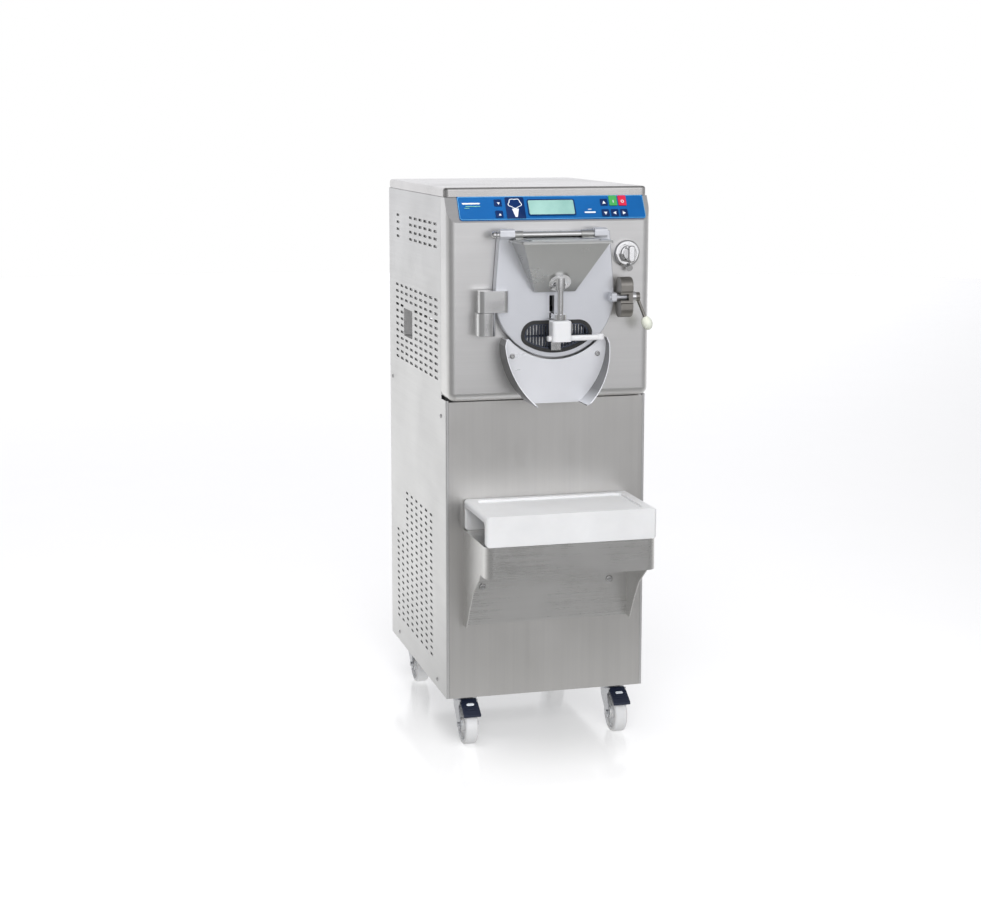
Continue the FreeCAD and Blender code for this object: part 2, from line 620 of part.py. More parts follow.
def door_plate():
    """Plate with its lid-rod blocks and lock stud, gate pocket, link slot and filling port."""
    plate = door_outline(0, DOOR_BACK, DOOR_FRONT)
    front = [e for e in plate.Edges if abs(e.CenterOfMass.y - DOOR_FRONT) < 0.01]
    plate = plate.makeFillet(3.0, front)
    gate_y = (DOOR_BACK - 7.0, DOOR_BACK + 1)
    lifted = gate_area(0, *gate_y)
    lifted.translate(V(0, 0, GATE_LIFT + 1.5))
    half = OUTLET_HALF - 4.5
    travel = box((OUTLET_X - half, OUTLET_X + half), gate_y, (OUTLET_TOP - 40, OUTLET_TOP - 28 + GATE_LIFT))
    tab_way = box((LINK_X - 12, LINK_X + 12), gate_y, (OUTLET_TOP - 20, LINK_Z + 20))
    link_slot = box((LINK_X - 6, LINK_X + 6), (DOOR_FRONT - 1, DOOR_BACK + 1), (LINK_Z - 8, LINK_Z + 8 + GATE_LIFT))
    groove = seal_ring(DOOR_BACK - 2.0, DOOR_BACK + 1)
    port = box((DOOR_X - PORT_X, DOOR_X + PORT_X), (DOOR_FRONT - 1, DOOR_BACK + 1), PORT_Z)
    cuts = [outlet_outline(0, DOOR_FRONT - 1, DOOR_FRONT + 6),
            outlet_outline(OUTLET_SEAL, DOOR_FRONT - 1, DOOR_BACK + 1),
            gate_area(0, *gate_y), lifted, travel, tab_way, link_slot, groove, port]
    for cut in cuts:
        plate = plate.cut(cut)
    return fuse([plate] + rod_blocks() + [lock_stud()])


def door_gasket():
    return seal_ring(DOOR_BACK - 2.0, FACE - 1.5 - GAP)


def outlet_gasket():
    y0, y1 = DOOR_FRONT - 1.5, DOOR_FRONT + 6
    return outlet_outline(0, y0, y1).cut(outlet_outline(OUTLET_SEAL, y0 - 1, y1 + 1))


def outlet_grille():
    """Stainless safety grille: thin frame with close upright rods."""
    y0, y1 = DOOR_FRONT + 1.5, DOOR_FRONT + 7.5
    inner = outlet_outline(OUTLET_SEAL + 2.5, y0 - 1, y1 + 1)
    frame = outlet_outline(OUTLET_SEAL + 0.1, y0, y1).cut(inner)
    area = outlet_outline(OUTLET_SEAL + 1, y0, y1)
    rods = []
    pitch = 7.6
    for index in range(-11, 12):
        x = OUTLET_X + pitch * index
        bar = rod((x, (y0 + y1) / 2, OUTLET_TOP - 130), (x, (y0 + y1) / 2, OUTLET_TOP), 1.9)
        rods.append(bar.common(area))
    cross = box((OUTLET_X - OUTLET_HALF, OUTLET_X + OUTLET_HALF), ((y0 + y1) / 2, y1), (1028.0, 1031.0))
    return fuse([frame, cross.common(area)] + [r for r in rods if r.Volume > 1.0])


def gate_plate():
    """Gate behind the grille, link through the door, collar on the rod and front tongue."""
    plate = gate_area(0.8, DOOR_BACK - 6.2, DOOR_BACK - 1.0)
    link = box((LINK_X - 4, LINK_X + 4), (GATE_Y + 10, DOOR_BACK - 3), (LINK_Z - 6, LINK_Z + 6))
    tongue = box((GATE_X - 12, GATE_X + 12), (DOOR_FRONT - 10, DOOR_FRONT - 6.5), (997.0, LINK_Z + 6))
    collar = rod((GATE_X, GATE_Y, LINK_Z - 6), (GATE_X, GATE_Y, LINK_Z + 6), 15.0)
    bore = rod((GATE_X, GATE_Y, LINK_Z - 7), (GATE_X, GATE_Y, LINK_Z + 7), GATE_ROD_R + FIT)
    return fuse([plate, link, tongue, collar]).cut(bore)


GATE_ROD_R = 7.5
FLANGE_Z = 1168.0
HANDLE_TOP = 1073.0
HANDLE_LOW = 1023.0


def gate_rod():
    """Upright rod hung from a round flange on the hopper's sloping front."""
    stem = rod((GATE_X, GATE_Y, 1030.0), (GATE_X, GATE_Y, FLANGE_Z + 6), GATE_ROD_R)
    centre = V(GATE_X, GATE_Y, FLANGE_Z)
    normal = V(0, -HOPPER_RISE, -HOPPER_RUN).normalize()
    start = hopper_front_point(centre.z - 3)
    disc = Part.makeCylinder(27.0, 5.0, start, normal)
    heads = []
    for side in (-1, 1):
        spot = start + V(18.0 * side, 0, 0) + normal * 5 + V(0, HOPPER_RUN, -HOPPER_RISE).normalize() * 8
        heads.append(Part.makeCylinder(3.5, 2.0, spot, normal))
    boss = rod((GATE_X, GATE_Y, FLANGE_Z - 22), (GATE_X, GATE_Y, FLANGE_Z + 6), 11.0)
    return fuse([stem, disc, boss] + heads).cut(hopper_block(0))


def gate_handle():
    """Moulded hub that rides on the rod, with a long grip to one side and a short toe."""
    hub = box((GATE_X - 23.5, GATE_X + 23.5), (GATE_Y - 22, GATE_Y + 22), (HANDLE_LOW, HANDLE_TOP))
    hub = hub.makeFillet(9.0, edges_along(hub, (0, 0, 1)))
    hub = hub.makeFillet(5.0, [e for e in hub.Edges if e.CenterOfMass.z > HANDLE_TOP - 0.01])
    grip = side_prism([(GATE_Y - 8, HANDLE_LOW), (GATE_Y + 8, HANDLE_LOW), (GATE_Y + 8, HANDLE_LOW + 13),
                       (GATE_Y - 8, HANDLE_LOW + 13)], GATE_X - 31, GATE_X + 104)
    grip = grip.makeFillet(4.5, edges_along(grip, (1, 0, 0)))
    end = rod((GATE_X + 100, GATE_Y, HANDLE_LOW), (GATE_X + 100, GATE_Y, HANDLE_LOW + 15), 10.0)
    end = end.makeFillet(4.0, [e for e in end.Edges if e.Curve.TypeId == "Part::GeomCircle"])
    bore = rod((GATE_X, GATE_Y, HANDLE_LOW - 1), (GATE_X, GATE_Y, HANDLE_TOP + 1), GATE_ROD_R + FIT)
    return fuse([hub, grip, end]).cut(bore)


# ---- hopper ------------------------------------------------------------------------------
HOPPER_X = DOOR_X - 4.0
HOPPER_TOP = 1262.0
HOPPER_LOW = 1139.0
HOPPER_TOP_HALF = 106.0
HOPPER_LOW_HALF = 50.0
HOPPER_REAR = DOOR_FRONT
HOPPER_TOP_OUT = -170.0
HOPPER_LOW_OUT = -72.0
HOPPER_RUN = HOPPER_LOW_OUT - HOPPER_TOP_OUT
HOPPER_RISE = HOPPER_TOP - HOPPER_LOW
RIM = 6.0


def hopper_front_point(z):
    """Point on the sloping front at a height."""
    share = (z - HOPPER_LOW) / HOPPER_RISE
    return V(GATE_X, HOPPER_LOW_OUT - share * HOPPER_RUN, z)


def hopper_block(inset):
    """Funnel form with flat sides; inset gives its inside, carried up through the rim."""
    extra = 8.0 if inset else 0.0
    spread = (HOPPER_TOP_HALF - HOPPER_LOW_HALF) / HOPPER_RISE
    lean = HOPPER_RUN / HOPPER_RISE
    levels = []
    for z, rise in ((HOPPER_LOW + inset, inset), (HOPPER_TOP + extra, HOPPER_RISE + extra)):
        half = HOPPER_LOW_HALF + spread * rise - inset * 1.1
        out = HOPPER_LOW_OUT - lean * rise + inset * 1.35
        rear = HOPPER_REAR - inset
        points = [V(HOPPER_X - half, rear, z), V(HOPPER_X + half, rear, z), V(HOPPER_X + half, out, z),
                  V(HOPPER_X - half, out, z)]
        levels.append(Part.makePolygon(points + [points[0]]))
    return Part.makeLoft(levels, True, True)


def hopper():
    rim = box((HOPPER_X - HOPPER_TOP_HALF - RIM, HOPPER_X + HOPPER_TOP_HALF + RIM),
              (HOPPER_TOP_OUT - RIM, HOPPER_REAR), (HOPPER_TOP - 2, HOPPER_TOP + 2))
    rim = rim.makeFillet(5.0, edges_along(rim, (0, 0, 1), lambda c: c.y < -100))
    port = box((DOOR_X - PORT_X, DOOR_X + PORT_X), (HOPPER_REAR - 4, HOPPER_REAR + 1), PORT_Z)
    return fuse([hopper_block(0), rim]).cut(hopper_block(2.0)).cut(port)


KNUCKLES = ((-102.0, -82.0), (64.0, 94.0))
KNUCKLE_R = 9.6          # clears the door behind the rod


def hopper_lid():
    """Flat lid with a stiffening bead, hung on the rod by two knuckles."""
    z0 = HOPPER_TOP + 2 + GAP
    half = HOPPER_TOP_HALF + RIM - 1
    plate = box((HOPPER_X - half, HOPPER_X + half), (HOPPER_TOP_OUT - RIM + 1, LID_Y - 20), (z0, z0 + 2))
    plate = plate.makeFillet(5.0, edges_along(plate, (0, 0, 1)))
    tongue = box((KNUCKLES[0][0], KNUCKLES[1][1]), (LID_Y - 24, LID_Y - 8), (z0, z0 + 2))
    bead = box((HOPPER_X - half + 22, HOPPER_X + half - 22), (HOPPER_TOP_OUT + 14, LID_Y - 30), (z0 + 1, z0 + 4))
    bead = bead.makeFillet(10.0, edges_along(bead, (0, 0, 1)))
    pieces = [plate, tongue, bead]
    bores = []
    for x0, x1 in KNUCKLES:
        pieces.append(rod((x0, LID_Y, LID_Z), (x1, LID_Y, LID_Z), KNUCKLE_R))
        pieces.append(box((x0, x1), (LID_Y - 14, LID_Y), (z0, z0 + 5)))
        bores.append(rod((x0 - 1, LID_Y, LID_Z), (x1 + 1, LID_Y, LID_Z), LID_ROD_R + FIT))
    return fuse(pieces).cut(group(bores))


LID_ROD_R = 7.5


def lid_rod():
    stem = rod((-150.0, LID_Y, LID_Z), (128.0, LID_Y, LID_Z), LID_ROD_R)
    cap = Part.makeSphere(9.0, V(-150.0, LID_Y, LID_Z))
    return fuse([stem, cap])


def rod_blocks():
    blocks = []
    for x0, x1 in ((-139.0, -103.0), (95.5, 127.0)):
        block = box((x0, x1), (LID_Y - 13, DOOR_FRONT), (LID_Z - 9, LID_Z + 14))
        block = block.makeFillet(6.0, edges_along(block, (1, 0, 0), lambda c: c.y < LID_Y))
        blocks.append(block.cut(rod((x0 - 1, LID_Y, LID_Z), (x1 + 1, LID_Y, LID_Z), LID_ROD_R)))
    return blocks


# ---- door hinge, lock and wash tap -------------------------------------------------------
PIN_R = 8.0


def hinge_post():
    """Fixed lower knuckle on a foot that bolts to the housing."""
    knuckle = rod((HINGE_X, HINGE_Y, HINGE_Z - 56), (HINGE_X, HINGE_Y, HINGE_Z), 24.0)
    knuckle = knuckle.makeFillet(1.5, [e for e in knuckle.Edges if e.Curve.TypeId == "Part::GeomCircle"])
    foot = box((HINGE_X - 14, HINGE_X + 14), (HINGE_Y, FACE), (HINGE_Z - 50, HINGE_Z - 6))
    bore = rod((HINGE_X, HINGE_Y, HINGE_Z - 57), (HINGE_X, HINGE_Y, HINGE_Z + 1), PIN_R + 0.02)
    return fuse([knuckle, foot]).cut(bore)


def hinge_pin():
    return rod((HINGE_X, HINGE_Y, HINGE_Z - 50), (HINGE_X, HINGE_Y, HINGE_Z + 48), PIN_R)


def hinge_arm():
    """Upper knuckle and the arm that carries the door."""
    z0, z1 = HINGE_Z + GAP, HINGE_Z + 52
    knuckle = rod((HINGE_X, HINGE_Y, z0), (HINGE_X, HINGE_Y, z1), 20.0)
    arm = box((HINGE_X, HINGE_X + 55), (HINGE_Y - 20, DOOR_FRONT), (z0, z1))
    arm = arm.makeFillet(14.0, edges_along(arm, (0, 0, 1), lambda c: c.x > HINGE_X + 50 and c.y < -70))
    bore = rod((HINGE_X, HINGE_Y, z0 - 1), (HINGE_X, HINGE_Y, z1 - 3), PIN_R + FIT)
    return fuse([knuckle, arm]).cut(bore)


STUD_R = 6.5
LOCK_SLOT = 7.4          # half width of the slot that takes the stud
LOCK_H = 97.0
LOCK_D = 46.0


def lock_stud():
    """Lug on the door's edge with the stud that the cam grips."""
    lug = box((137.0, 149.0), (LOCK_Y - 9, DOOR_FRONT), (LOCK_Z - 11, LOCK_Z + 11))
    lug = lug.makeFillet(4.0, edges_along(lug, (1, 0, 0), lambda c: c.y < LOCK_Y))
    stud = rod((133.0, LOCK_Y, LOCK_Z), (LOCK_X + 20, LOCK_Y, LOCK_Z), STUD_R)
    return fuse([lug, stud])


def lock_cam():
    """Tall rounded cam with a slot from its axis to its front face, axle and lever."""
    x0, x1 = LOCK_X, LOCK_X + LOCK_W
    body = box((x0, x1), (LOCK_Y - LOCK_D / 2, LOCK_Y + LOCK_D / 2), (LOCK_Z - LOCK_H / 2, LOCK_Z + LOCK_H / 2))
    body = body.makeFillet(20.0, edges_along(body, (1, 0, 0)))
    body = body.makeFillet(3.0, [e for e in body.Edges if abs(e.CenterOfMass.x - x1) < 0.01])
    slot_end = rod((x0 - 1, LOCK_Y, LOCK_Z), (x0 + 21, LOCK_Y, LOCK_Z), LOCK_SLOT)
    slot_way = box((x0 - 1, x0 + 21), (LOCK_Y - 40, LOCK_Y), (LOCK_Z - LOCK_SLOT, LOCK_Z + LOCK_SLOT))
    front = LOCK_Y - LOCK_D / 2
    scallop = box((x0 - 1, x1 + 1), (front - 1, front + 5), (LOCK_Z - 15, LOCK_Z + 15))
    body = body.cut(scallop.makeFillet(4.0, edges_along(scallop, (1, 0, 0), lambda c: c.y > front)))
    axle = rod((x1 - 5, LOCK_Y, LOCK_Z), (x1 + 21, LOCK_Y, LOCK_Z), 8.0)
    hub = rod((x1 + 11, LOCK_Y, LOCK_Z), (x1 + 21, LOCK_Y, LOCK_Z), 11.0)
    lever = rod((x1 + 16, LOCK_Y, LOCK_Z), KNOB_TOP, 4.0)
    return fuse([body.cut(slot_end).cut(slot_way), axle, hub, lever])


KNOB_TOP = (221.0, LOCK_Y - 7, 1074.0)
KNOB_CENTRE = (226.5, LOCK_Y - 8.5, 1059.0)


def lock_knob():
    """Egg-shaped ball on the end of the lever."""
    axis = V(*KNOB_TOP) - V(LOCK_X + LOCK_W + 16, LOCK_Y, LOCK_Z)
    egg = Part.makeSphere(13.5)
    stretch = FreeCAD.Matrix()
    stretch.scale(1.0, 1.0, 1.3)
    egg = egg.transformGeometry(stretch)
    egg.Placement = FreeCAD.Placement(V(*KNOB_CENTRE), FreeCAD.Rotation(V(0, 0, 1), axis))
    lever = rod((LOCK_X + LOCK_W + 16, LOCK_Y, LOCK_Z), KNOB_TOP, 4.0)
    return egg.cut(lever)


def lock_bracket():
    """Plate on the housing whose eye carries the cam's axle."""
    x0, x1 = LOCK_X + LOCK_W + 1, LOCK_X + LOCK_W + 10
    plate = side_prism([(FACE, LOCK_Z - 22), (FACE, LOCK_Z + 22), (LOCK_Y, LOCK_Z + 14), (LOCK_Y, LOCK_Z - 14)], x0, x1)
    eye = rod((x0, LOCK_Y, LOCK_Z), (x1, LOCK_Y, LOCK_Z), 14.0)
    foot = box((x0, x1 + 14), (FACE - 4, FACE), (LOCK_Z - 22, LOCK_Z + 22))
    return fuse([plate, eye, foot]).cut(rod((x0 - 1, LOCK_Y, LOCK_Z), (x1 + 1, LOCK_Y, LOCK_Z), 8 + FIT))


def tap_escutcheon():
    base = rod((TAP_X, FACE, TAP_Z), (TAP_X, FACE - 14, TAP_Z), 33.0)
    base = base.makeFillet(6.0, [e for e in base.Edges if abs(e.CenterOfMass.y - FACE + 14) < 0.01])
    neck = rod((TAP_X, FACE, TAP_Z), (TAP_X, FACE - 24, TAP_Z), 21.0)
    neck = neck.makeFillet(4.0, [e for e in neck.Edges if abs(e.CenterOfMass.y - FACE + 24) < 0.01])
    seat = rod((TAP_X, FACE + 1, TAP_Z), (TAP_X, FACE - 30, TAP_Z), 9 + FIT)
    spout = rod((TAP_X + 3, FACE - 8, TAP_Z - 29), (TAP_X + 3, FACE - 22, TAP_Z - 36), 8.0)
    return fuse([base, neck, spout]).cut(seat)


def tap_knob():
    stem = rod((TAP_X, FACE - 2, TAP_Z), (TAP_X, FACE - 36, TAP_Z), 9.0)
    collar = rod((TAP_X, FACE - 24 - GAP, TAP_Z), (TAP_X, FACE - 33, TAP_Z), 15.0)
    bar = box((TAP_X - 9, TAP_X + 9), (FACE - 48, FACE - 30), (TAP_Z - 21, TAP_Z + 21))
    bar = bar.makeFillet(7.5, edges_along(bar, (0, 1, 0)))
    bar = bar.makeFillet(4.0, [e for e in bar.Edges if abs(e.CenterOfMass.y - FACE + 48) < 0.01])
    return fuse([stem, collar, bar])


# ---- chute -------------------------------------------------------------------------------
CHUTE_TOP = 1026.0
CHUTE_LOW = 868.0
CHUTE_SHEET_Y = -58.0
CHUTE_LIP_TOP = -71.0    # front edge of the side walls, at the top and at the bottom
CHUTE_LIP_LOW = -131.0
CHUTE_T = 2.0


def chute_outline(inset, y0, y1):
    """Bowl shape: round sides that draw in to a straight bottom edge."""
    half, waist, low = 131.0 - inset, 114.0 - inset, 63.0 - inset
    z = CHUTE_LOW + inset
    sides = []
    for sign in (-1, 1):
        sides.append(Part.Arc(V(DOOR_X + sign * half, y0, 1012.0), V(DOOR_X + sign * waist, y0, 935.0),
                              V(DOOR_X + sign * low, y0, z)).toShape())
    top = [V(DOOR_X - half, y0, 1012.0), V(DOOR_X - half + 6, y0, CHUTE_TOP + 4),
           V(DOOR_X + half - 6, y0, CHUTE_TOP + 4), V(DOOR_X + half, y0, 1012.0)]
    edges = [Part.LineSegment(top[i], top[i + 1]).toShape() for i in range(3)]
    bottom = Part.LineSegment(V(DOOR_X - low, y0, z), V(DOOR_X + low, y0, z)).toShape()
    wire = Part.Wire(Part.__sortEdges__(edges + sides + [bottom]))
    return Part.Face(wire).extrude(V(0, y1 - y0, 0))


def chute():
    """Bowl with a near-flat back sheet, side walls that reach forward, and a folded foot."""
    reach = CHUTE_LIP_LOW - 5
    full = chute_outline(0, FACE, reach)
    hollow_front = chute_outline(CHUTE_T, CHUTE_SHEET_Y, reach - 1)
    open_foot = box((DOOR_X - 61, DOOR_X + 61), (reach - 1, CHUTE_SHEET_Y), (CHUTE_LOW - 1, CHUTE_LOW + 4))
    hollow_back = chute_outline(CHUTE_T, FACE + 1, CHUTE_SHEET_Y + CHUTE_T)
    door_way = rod((DOOR_X, reach - 1, DOOR_Z), (DOOR_X, FACE + 1, DOOR_Z), DOOR_R + 4)
    above = box((DOOR_X - 160, DOOR_X + 160), (reach - 1, FACE + 1), (CHUTE_TOP, CHUTE_TOP + 20))
    ahead = side_prism([(CHUTE_LIP_TOP, CHUTE_TOP + 20), (CHUTE_LIP_LOW, CHUTE_LOW + 6),
                        (CHUTE_LIP_LOW + 8, CHUTE_LOW - 2), (reach - 20, CHUTE_LOW - 2),
                        (reach - 20, CHUTE_TOP + 20)], DOOR_X - 160, DOOR_X + 160)
    shape = full
    for cut in (hollow_front, open_foot, hollow_back, door_way, above, ahead):
        shape = shape.cut(cut)
    return shape


def screw_head(centre, normal, radius, height):
    head = Part.makeCylinder(radius, height, V(*centre), V(*normal))
    far = V(*centre) + V(*normal) * height
    rim = [e for e in head.Edges if e.Curve.TypeId == "Part::GeomCircle" and (e.CenterOfMass - far).Length < 0.01]
    head = head.makeFillet(height * 0.6, rim)
    socket = Part.makeCylinder(radius * 0.45, height * 0.5, far - V(*normal) * height * 0.5, V(*normal))
    return head.cut(socket)


def machine_screws():
    """Screws of the chute and the side panels, and the two bolts of the shelf bracket."""
    screws = [screw_head((DOOR_X + side * 107, CHUTE_SHEET_Y, 985.0), (0, -1, 0), 6.5, 4.0) for side in (-1, 1)]
    for side in (-1, 1):
        for y, z in ((617.0, 852.0), (49.0, 829.0), (550.0, 150.0), (100.0, 148.0)):
            screws.append(screw_head((side * HALF, y, z), (side, 0, 0), 5.0, 2.5))
        screws.append(screw_head((side * BOLT_X, -SHELF_SHEET, BOLT_Z), (0, -1, 0), 9.0, 6.0))
    return group(screws)


# ---- pan shelf ---------------------------------------------------------------------------
GUSSET_FOOT = 312.0
FRONT_DROP = 76.0
SHELF_SHEET = 2.5
BOLT_X = 164.0
BOLT_Z = 407.0


def shelf_bracket():
    """Folded bracket: top, front drop, two tapering gussets and a back plate."""
    half = SHELF_HALF
    top_z = SHELF_Z
    low_z = SHELF_Z - FRONT_DROP
    outer = box((-half, half), (-SHELF_OUT, 0), (GUSSET_FOOT, top_z))
    outer = outer.makeFillet(25.0, edges_along(outer, (0, 0, 1), lambda c: c.y < -100))
    inner = box((-half + SHELF_SHEET, half - SHELF_SHEET), (-SHELF_OUT + SHELF_SHEET, -SHELF_SHEET),
                (GUSSET_FOOT - 1, top_z - SHELF_SHEET))
    inner = inner.makeFillet(25.0 - SHELF_SHEET, edges_along(inner, (0, 0, 1), lambda c: c.y < -100))
    below = side_prism([(-SHELF_OUT - 1, low_z), (-166.0, low_z), (-148.0, low_z - 22), (-96.0, 417.0),
                        (-62.0, 367.0), (-30.0, GUSSET_FOOT), (-30.0, GUSSET_FOOT - 2),
                        (-SHELF_OUT - 1, GUSSET_FOOT - 2)], -half - 1, half + 1)
    return outer.cut(inner).cut(below)


def shelf_tray():
    """White moulded pan rest: bridge with front and rear skirts and a shallow recess."""
    z0 = SHELF_Z + GAP
    z1 = SHELF_Z + TRAY_H
    half = SHELF_HALF - 1
    y0, y1 = -SHELF_OUT + 1, -2.0
    outer = box((-half, half), (y0, y1), (z0, z1))
    outer = outer.makeFillet(9.0, edges_along(outer, (0, 1, 0)) + edges_along(outer, (0, 0, 1)))
    under = box((-half - 1, half + 1), (y0 + 16, y1 - 16), (z0 - 1, z1 - 16))
    under = under.makeFillet(10.0, edges_along(under, (1, 0, 0), lambda c: c.z > z1 - 20))
    recess = box((-half + 26, half - 26), (y0 + 24, y1 - 20), (z1 - 6, z1 + 1))
    recess = recess.makeFillet(14.0, edges_along(recess, (0, 0, 1)))
    return outer.cut(under).cut(recess)


# ---- castors -----------------------------------------------------------------------------
CROWN_Z = 108.0
LEG_X = 20.0             # inner face of each fork leg, from the middle
LEG_T = 3.0
AXLE_R = 6.0
PEDAL_Y = -38.0          # brake pedal's pivot, from the swivel axis
PEDAL_Z = 111.0


def castor_plates():
    plates = []
    for x in (-CASTOR_X, CASTOR_X):
        for y in CASTOR_Y:
            plate = box((x - 45, x + 45), (y - 45, y + 45), (BASE_Z - 4, BASE_Z))
            plate = plate.makeFillet(8.0, edges_along(plate, (0, 0, 1)))
            race = rod((x, y, BASE_Z - 9), (x, y, BASE_Z - 4), 28.0)
            kingpin = rod((x, y, CROWN_Z - 6), (x, y, BASE_Z - 9), 7.0)
            nut = rod((x, y, CROWN_Z - 10), (x, y, CROWN_Z - 4), 10.0)
            plates.append(fuse([plate, race, kingpin, nut]))
    return group(plates)


def castor_fork(x, y, braked):
    """Crown with two legs and the wheel bolt; a braked one has ears and a pedal pin."""
    wheel_y = y - CASTOR_LEAD
    crown = rod((x, y, CROWN_Z), (x, y, BASE_Z - 9 - GAP), 31.0)
    bore = rod((x, y, CROWN_Z - 1), (x, y, BASE_Z), 7 + FIT)
    deck = box((x - LEG_X - LEG_T, x + LEG_X + LEG_T), (y - 28, y + 26), (CROWN_Z, CROWN_Z + 4))
    pieces = [fuse([crown, deck]).cut(bore)]
    for side in (-1, 1):
        xs = sorted((x + side * LEG_X, x + side * (LEG_X + LEG_T)))
        leg = side_prism([(y - 28, CROWN_Z + 4), (y + 26, CROWN_Z + 4), (y + 18, 84.0), (wheel_y + 12, WHEEL_R - 6),
                          (wheel_y - 12, WHEEL_R - 2)], *xs)
        foot = rod((xs[0], wheel_y, WHEEL_R), (xs[1], wheel_y, WHEEL_R), 13.0)
        pieces += [leg, foot]
        if braked:
            ear = side_prism([(y - 28, CROWN_Z + 4), (y + PEDAL_Y - 6, PEDAL_Z + 5), (y + PEDAL_Y - 6, PEDAL_Z - 5),
                              (y - 28, CROWN_Z - 14)], *xs)
            pieces.append(ear)
    reach = LEG_X + LEG_T + 4
    pieces.append(rod((x - reach, wheel_y, WHEEL_R), (x + reach, wheel_y, WHEEL_R), AXLE_R))
    if braked:
        ends = LEG_X + LEG_T
        pieces.append(rod((x - ends, y + PEDAL_Y, PEDAL_Z), (x + ends, y + PEDAL_Y, PEDAL_Z), 2.5))
    return fuse(pieces)


def castor_wheel(x, y):
    """Nylon wheel: broad crowned tread, thin web, long hub."""
    centre = (x, y - CASTOR_LEAD, WHEEL_R)
    wheel = rod((x - 16, *centre[1:]), (x + 16, *centre[1:]), WHEEL_R)
    wheel = wheel.makeFillet(6.0, [e for e in wheel.Edges if e.Curve.TypeId == "Part::GeomCircle"])
    for side in (-1, 1):
        dish = tube((x + side * 9, *centre[1:]), (x + side * 17, *centre[1:]), 40.0, 17.0)
        wheel = wheel.cut(dish)
    hub = rod((x - 19, *centre[1:]), (x + 19, *centre[1:]), 13.0)
    bore = rod((x - 20, *centre[1:]), (x + 20, *centre[1:]), AXLE_R + FIT)
    return fuse([wheel, hub]).cut(bore)


def brake_pedal(x, y):
    """Sloping foot plate with a barrel that turns on the fork's pin."""
    py = y + PEDAL_Y
    barrel = rod((x - 19.5, py, PEDAL_Z), (x + 19.5, py, PEDAL_Z), 5.0)
    plate = side_prism([(py - 1, PEDAL_Z + 5), (py - 46, PEDAL_Z - 23), (py - 46, PEDAL_Z - 29),
                        (py - 40, PEDAL_Z - 27), (py + 2, PEDAL_Z - 2)], x - 19.5, x + 19.5)
    plate = plate.makeFillet(1.5, edges_along(plate, (1, 0, 0), lambda c: c.y < py - 30))
    flare = side_prism([(py - 10, PEDAL_Z - 1), (py - 46, PEDAL_Z - 23), (py - 46, PEDAL_Z - 29),
                        (py - 10, PEDAL_Z - 8)], x - 22.0, x + 22.0)
    bore = rod((x - 21, py, PEDAL_Z), (x + 21, py, PEDAL_Z), 2.5 + FIT)
    return fuse([barrel, plate, flare]).cut(bore)


# ---- write every node --------------------------------------------------------------------
CORNERS = (("front_left", -CASTOR_X, CASTOR_Y[0], True), ("front_right", CASTOR_X, CASTOR_Y[0], True),
           ("rear_left", -CASTOR_X, CASTOR_Y[1], False), ("rear_right", CASTOR_X, CASTOR_Y[1], False))

SINGLES = (chassis_frame, rear_panel, top_lid, lower_front_panel, upper_front_housing,
           control_label, display_window, freezing_cylinder, cylinder_insulation, bearing_housing,
           beater, driven_pulley, motor_pulley, drive_belt, motor, compressor, condenser, fan_shroud,
           condenser_fan, refrigerant_pipes, electrical_box, water_inlet, cable_gland, door_plate,
           door_gasket, outlet_gasket, outlet_grille, gate_plate, gate_rod, gate_handle, hopper,
           hopper_lid, lid_rod, hinge_post, hinge_pin, hinge_arm, lock_cam,
           lock_knob, lock_bracket, tap_escutcheon, tap_knob, chute, machine_screws, shelf_bracket,
           shelf_tray, castor_plates)


def main():
    os.makedirs("parts", exist_ok=True)
    for build in SINGLES:
        save(build.__name__, build())
    left = side_panel()
    save("left_side_panel", left)
    save("right_side_panel", mirrored(left))
    save("start_key", push_key(KEY_X[0]))
    save("stop_key", push_key(KEY_X[1]))
    for name, x, y, braked in CORNERS:
        save(name + "_fork", castor_fork(x, y, braked))
        save(name + "_wheel", castor_wheel(x, y))
        if braked:
            save(name + "_pedal", brake_pedal(x, y))


main()
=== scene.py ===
import json
import math

import bmesh
import bpy
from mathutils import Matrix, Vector


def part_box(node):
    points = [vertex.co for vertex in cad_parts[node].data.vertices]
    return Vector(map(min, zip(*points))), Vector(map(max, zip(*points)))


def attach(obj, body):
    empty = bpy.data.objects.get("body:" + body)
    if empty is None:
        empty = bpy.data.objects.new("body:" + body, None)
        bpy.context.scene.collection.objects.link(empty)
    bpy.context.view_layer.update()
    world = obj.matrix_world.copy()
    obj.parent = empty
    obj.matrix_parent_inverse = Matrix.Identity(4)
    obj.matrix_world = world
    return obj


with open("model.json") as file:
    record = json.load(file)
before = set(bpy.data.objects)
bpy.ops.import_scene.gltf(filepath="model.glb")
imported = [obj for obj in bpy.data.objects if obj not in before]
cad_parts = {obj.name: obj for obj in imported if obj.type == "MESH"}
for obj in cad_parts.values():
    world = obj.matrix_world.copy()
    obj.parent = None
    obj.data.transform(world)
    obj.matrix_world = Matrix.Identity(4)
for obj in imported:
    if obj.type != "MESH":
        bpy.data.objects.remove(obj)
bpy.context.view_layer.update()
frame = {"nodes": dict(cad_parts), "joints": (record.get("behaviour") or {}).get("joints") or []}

NODES = frame["nodes"]
JOINTS = {joint["name"]: joint for joint in frame["joints"]}
MM = 0.001


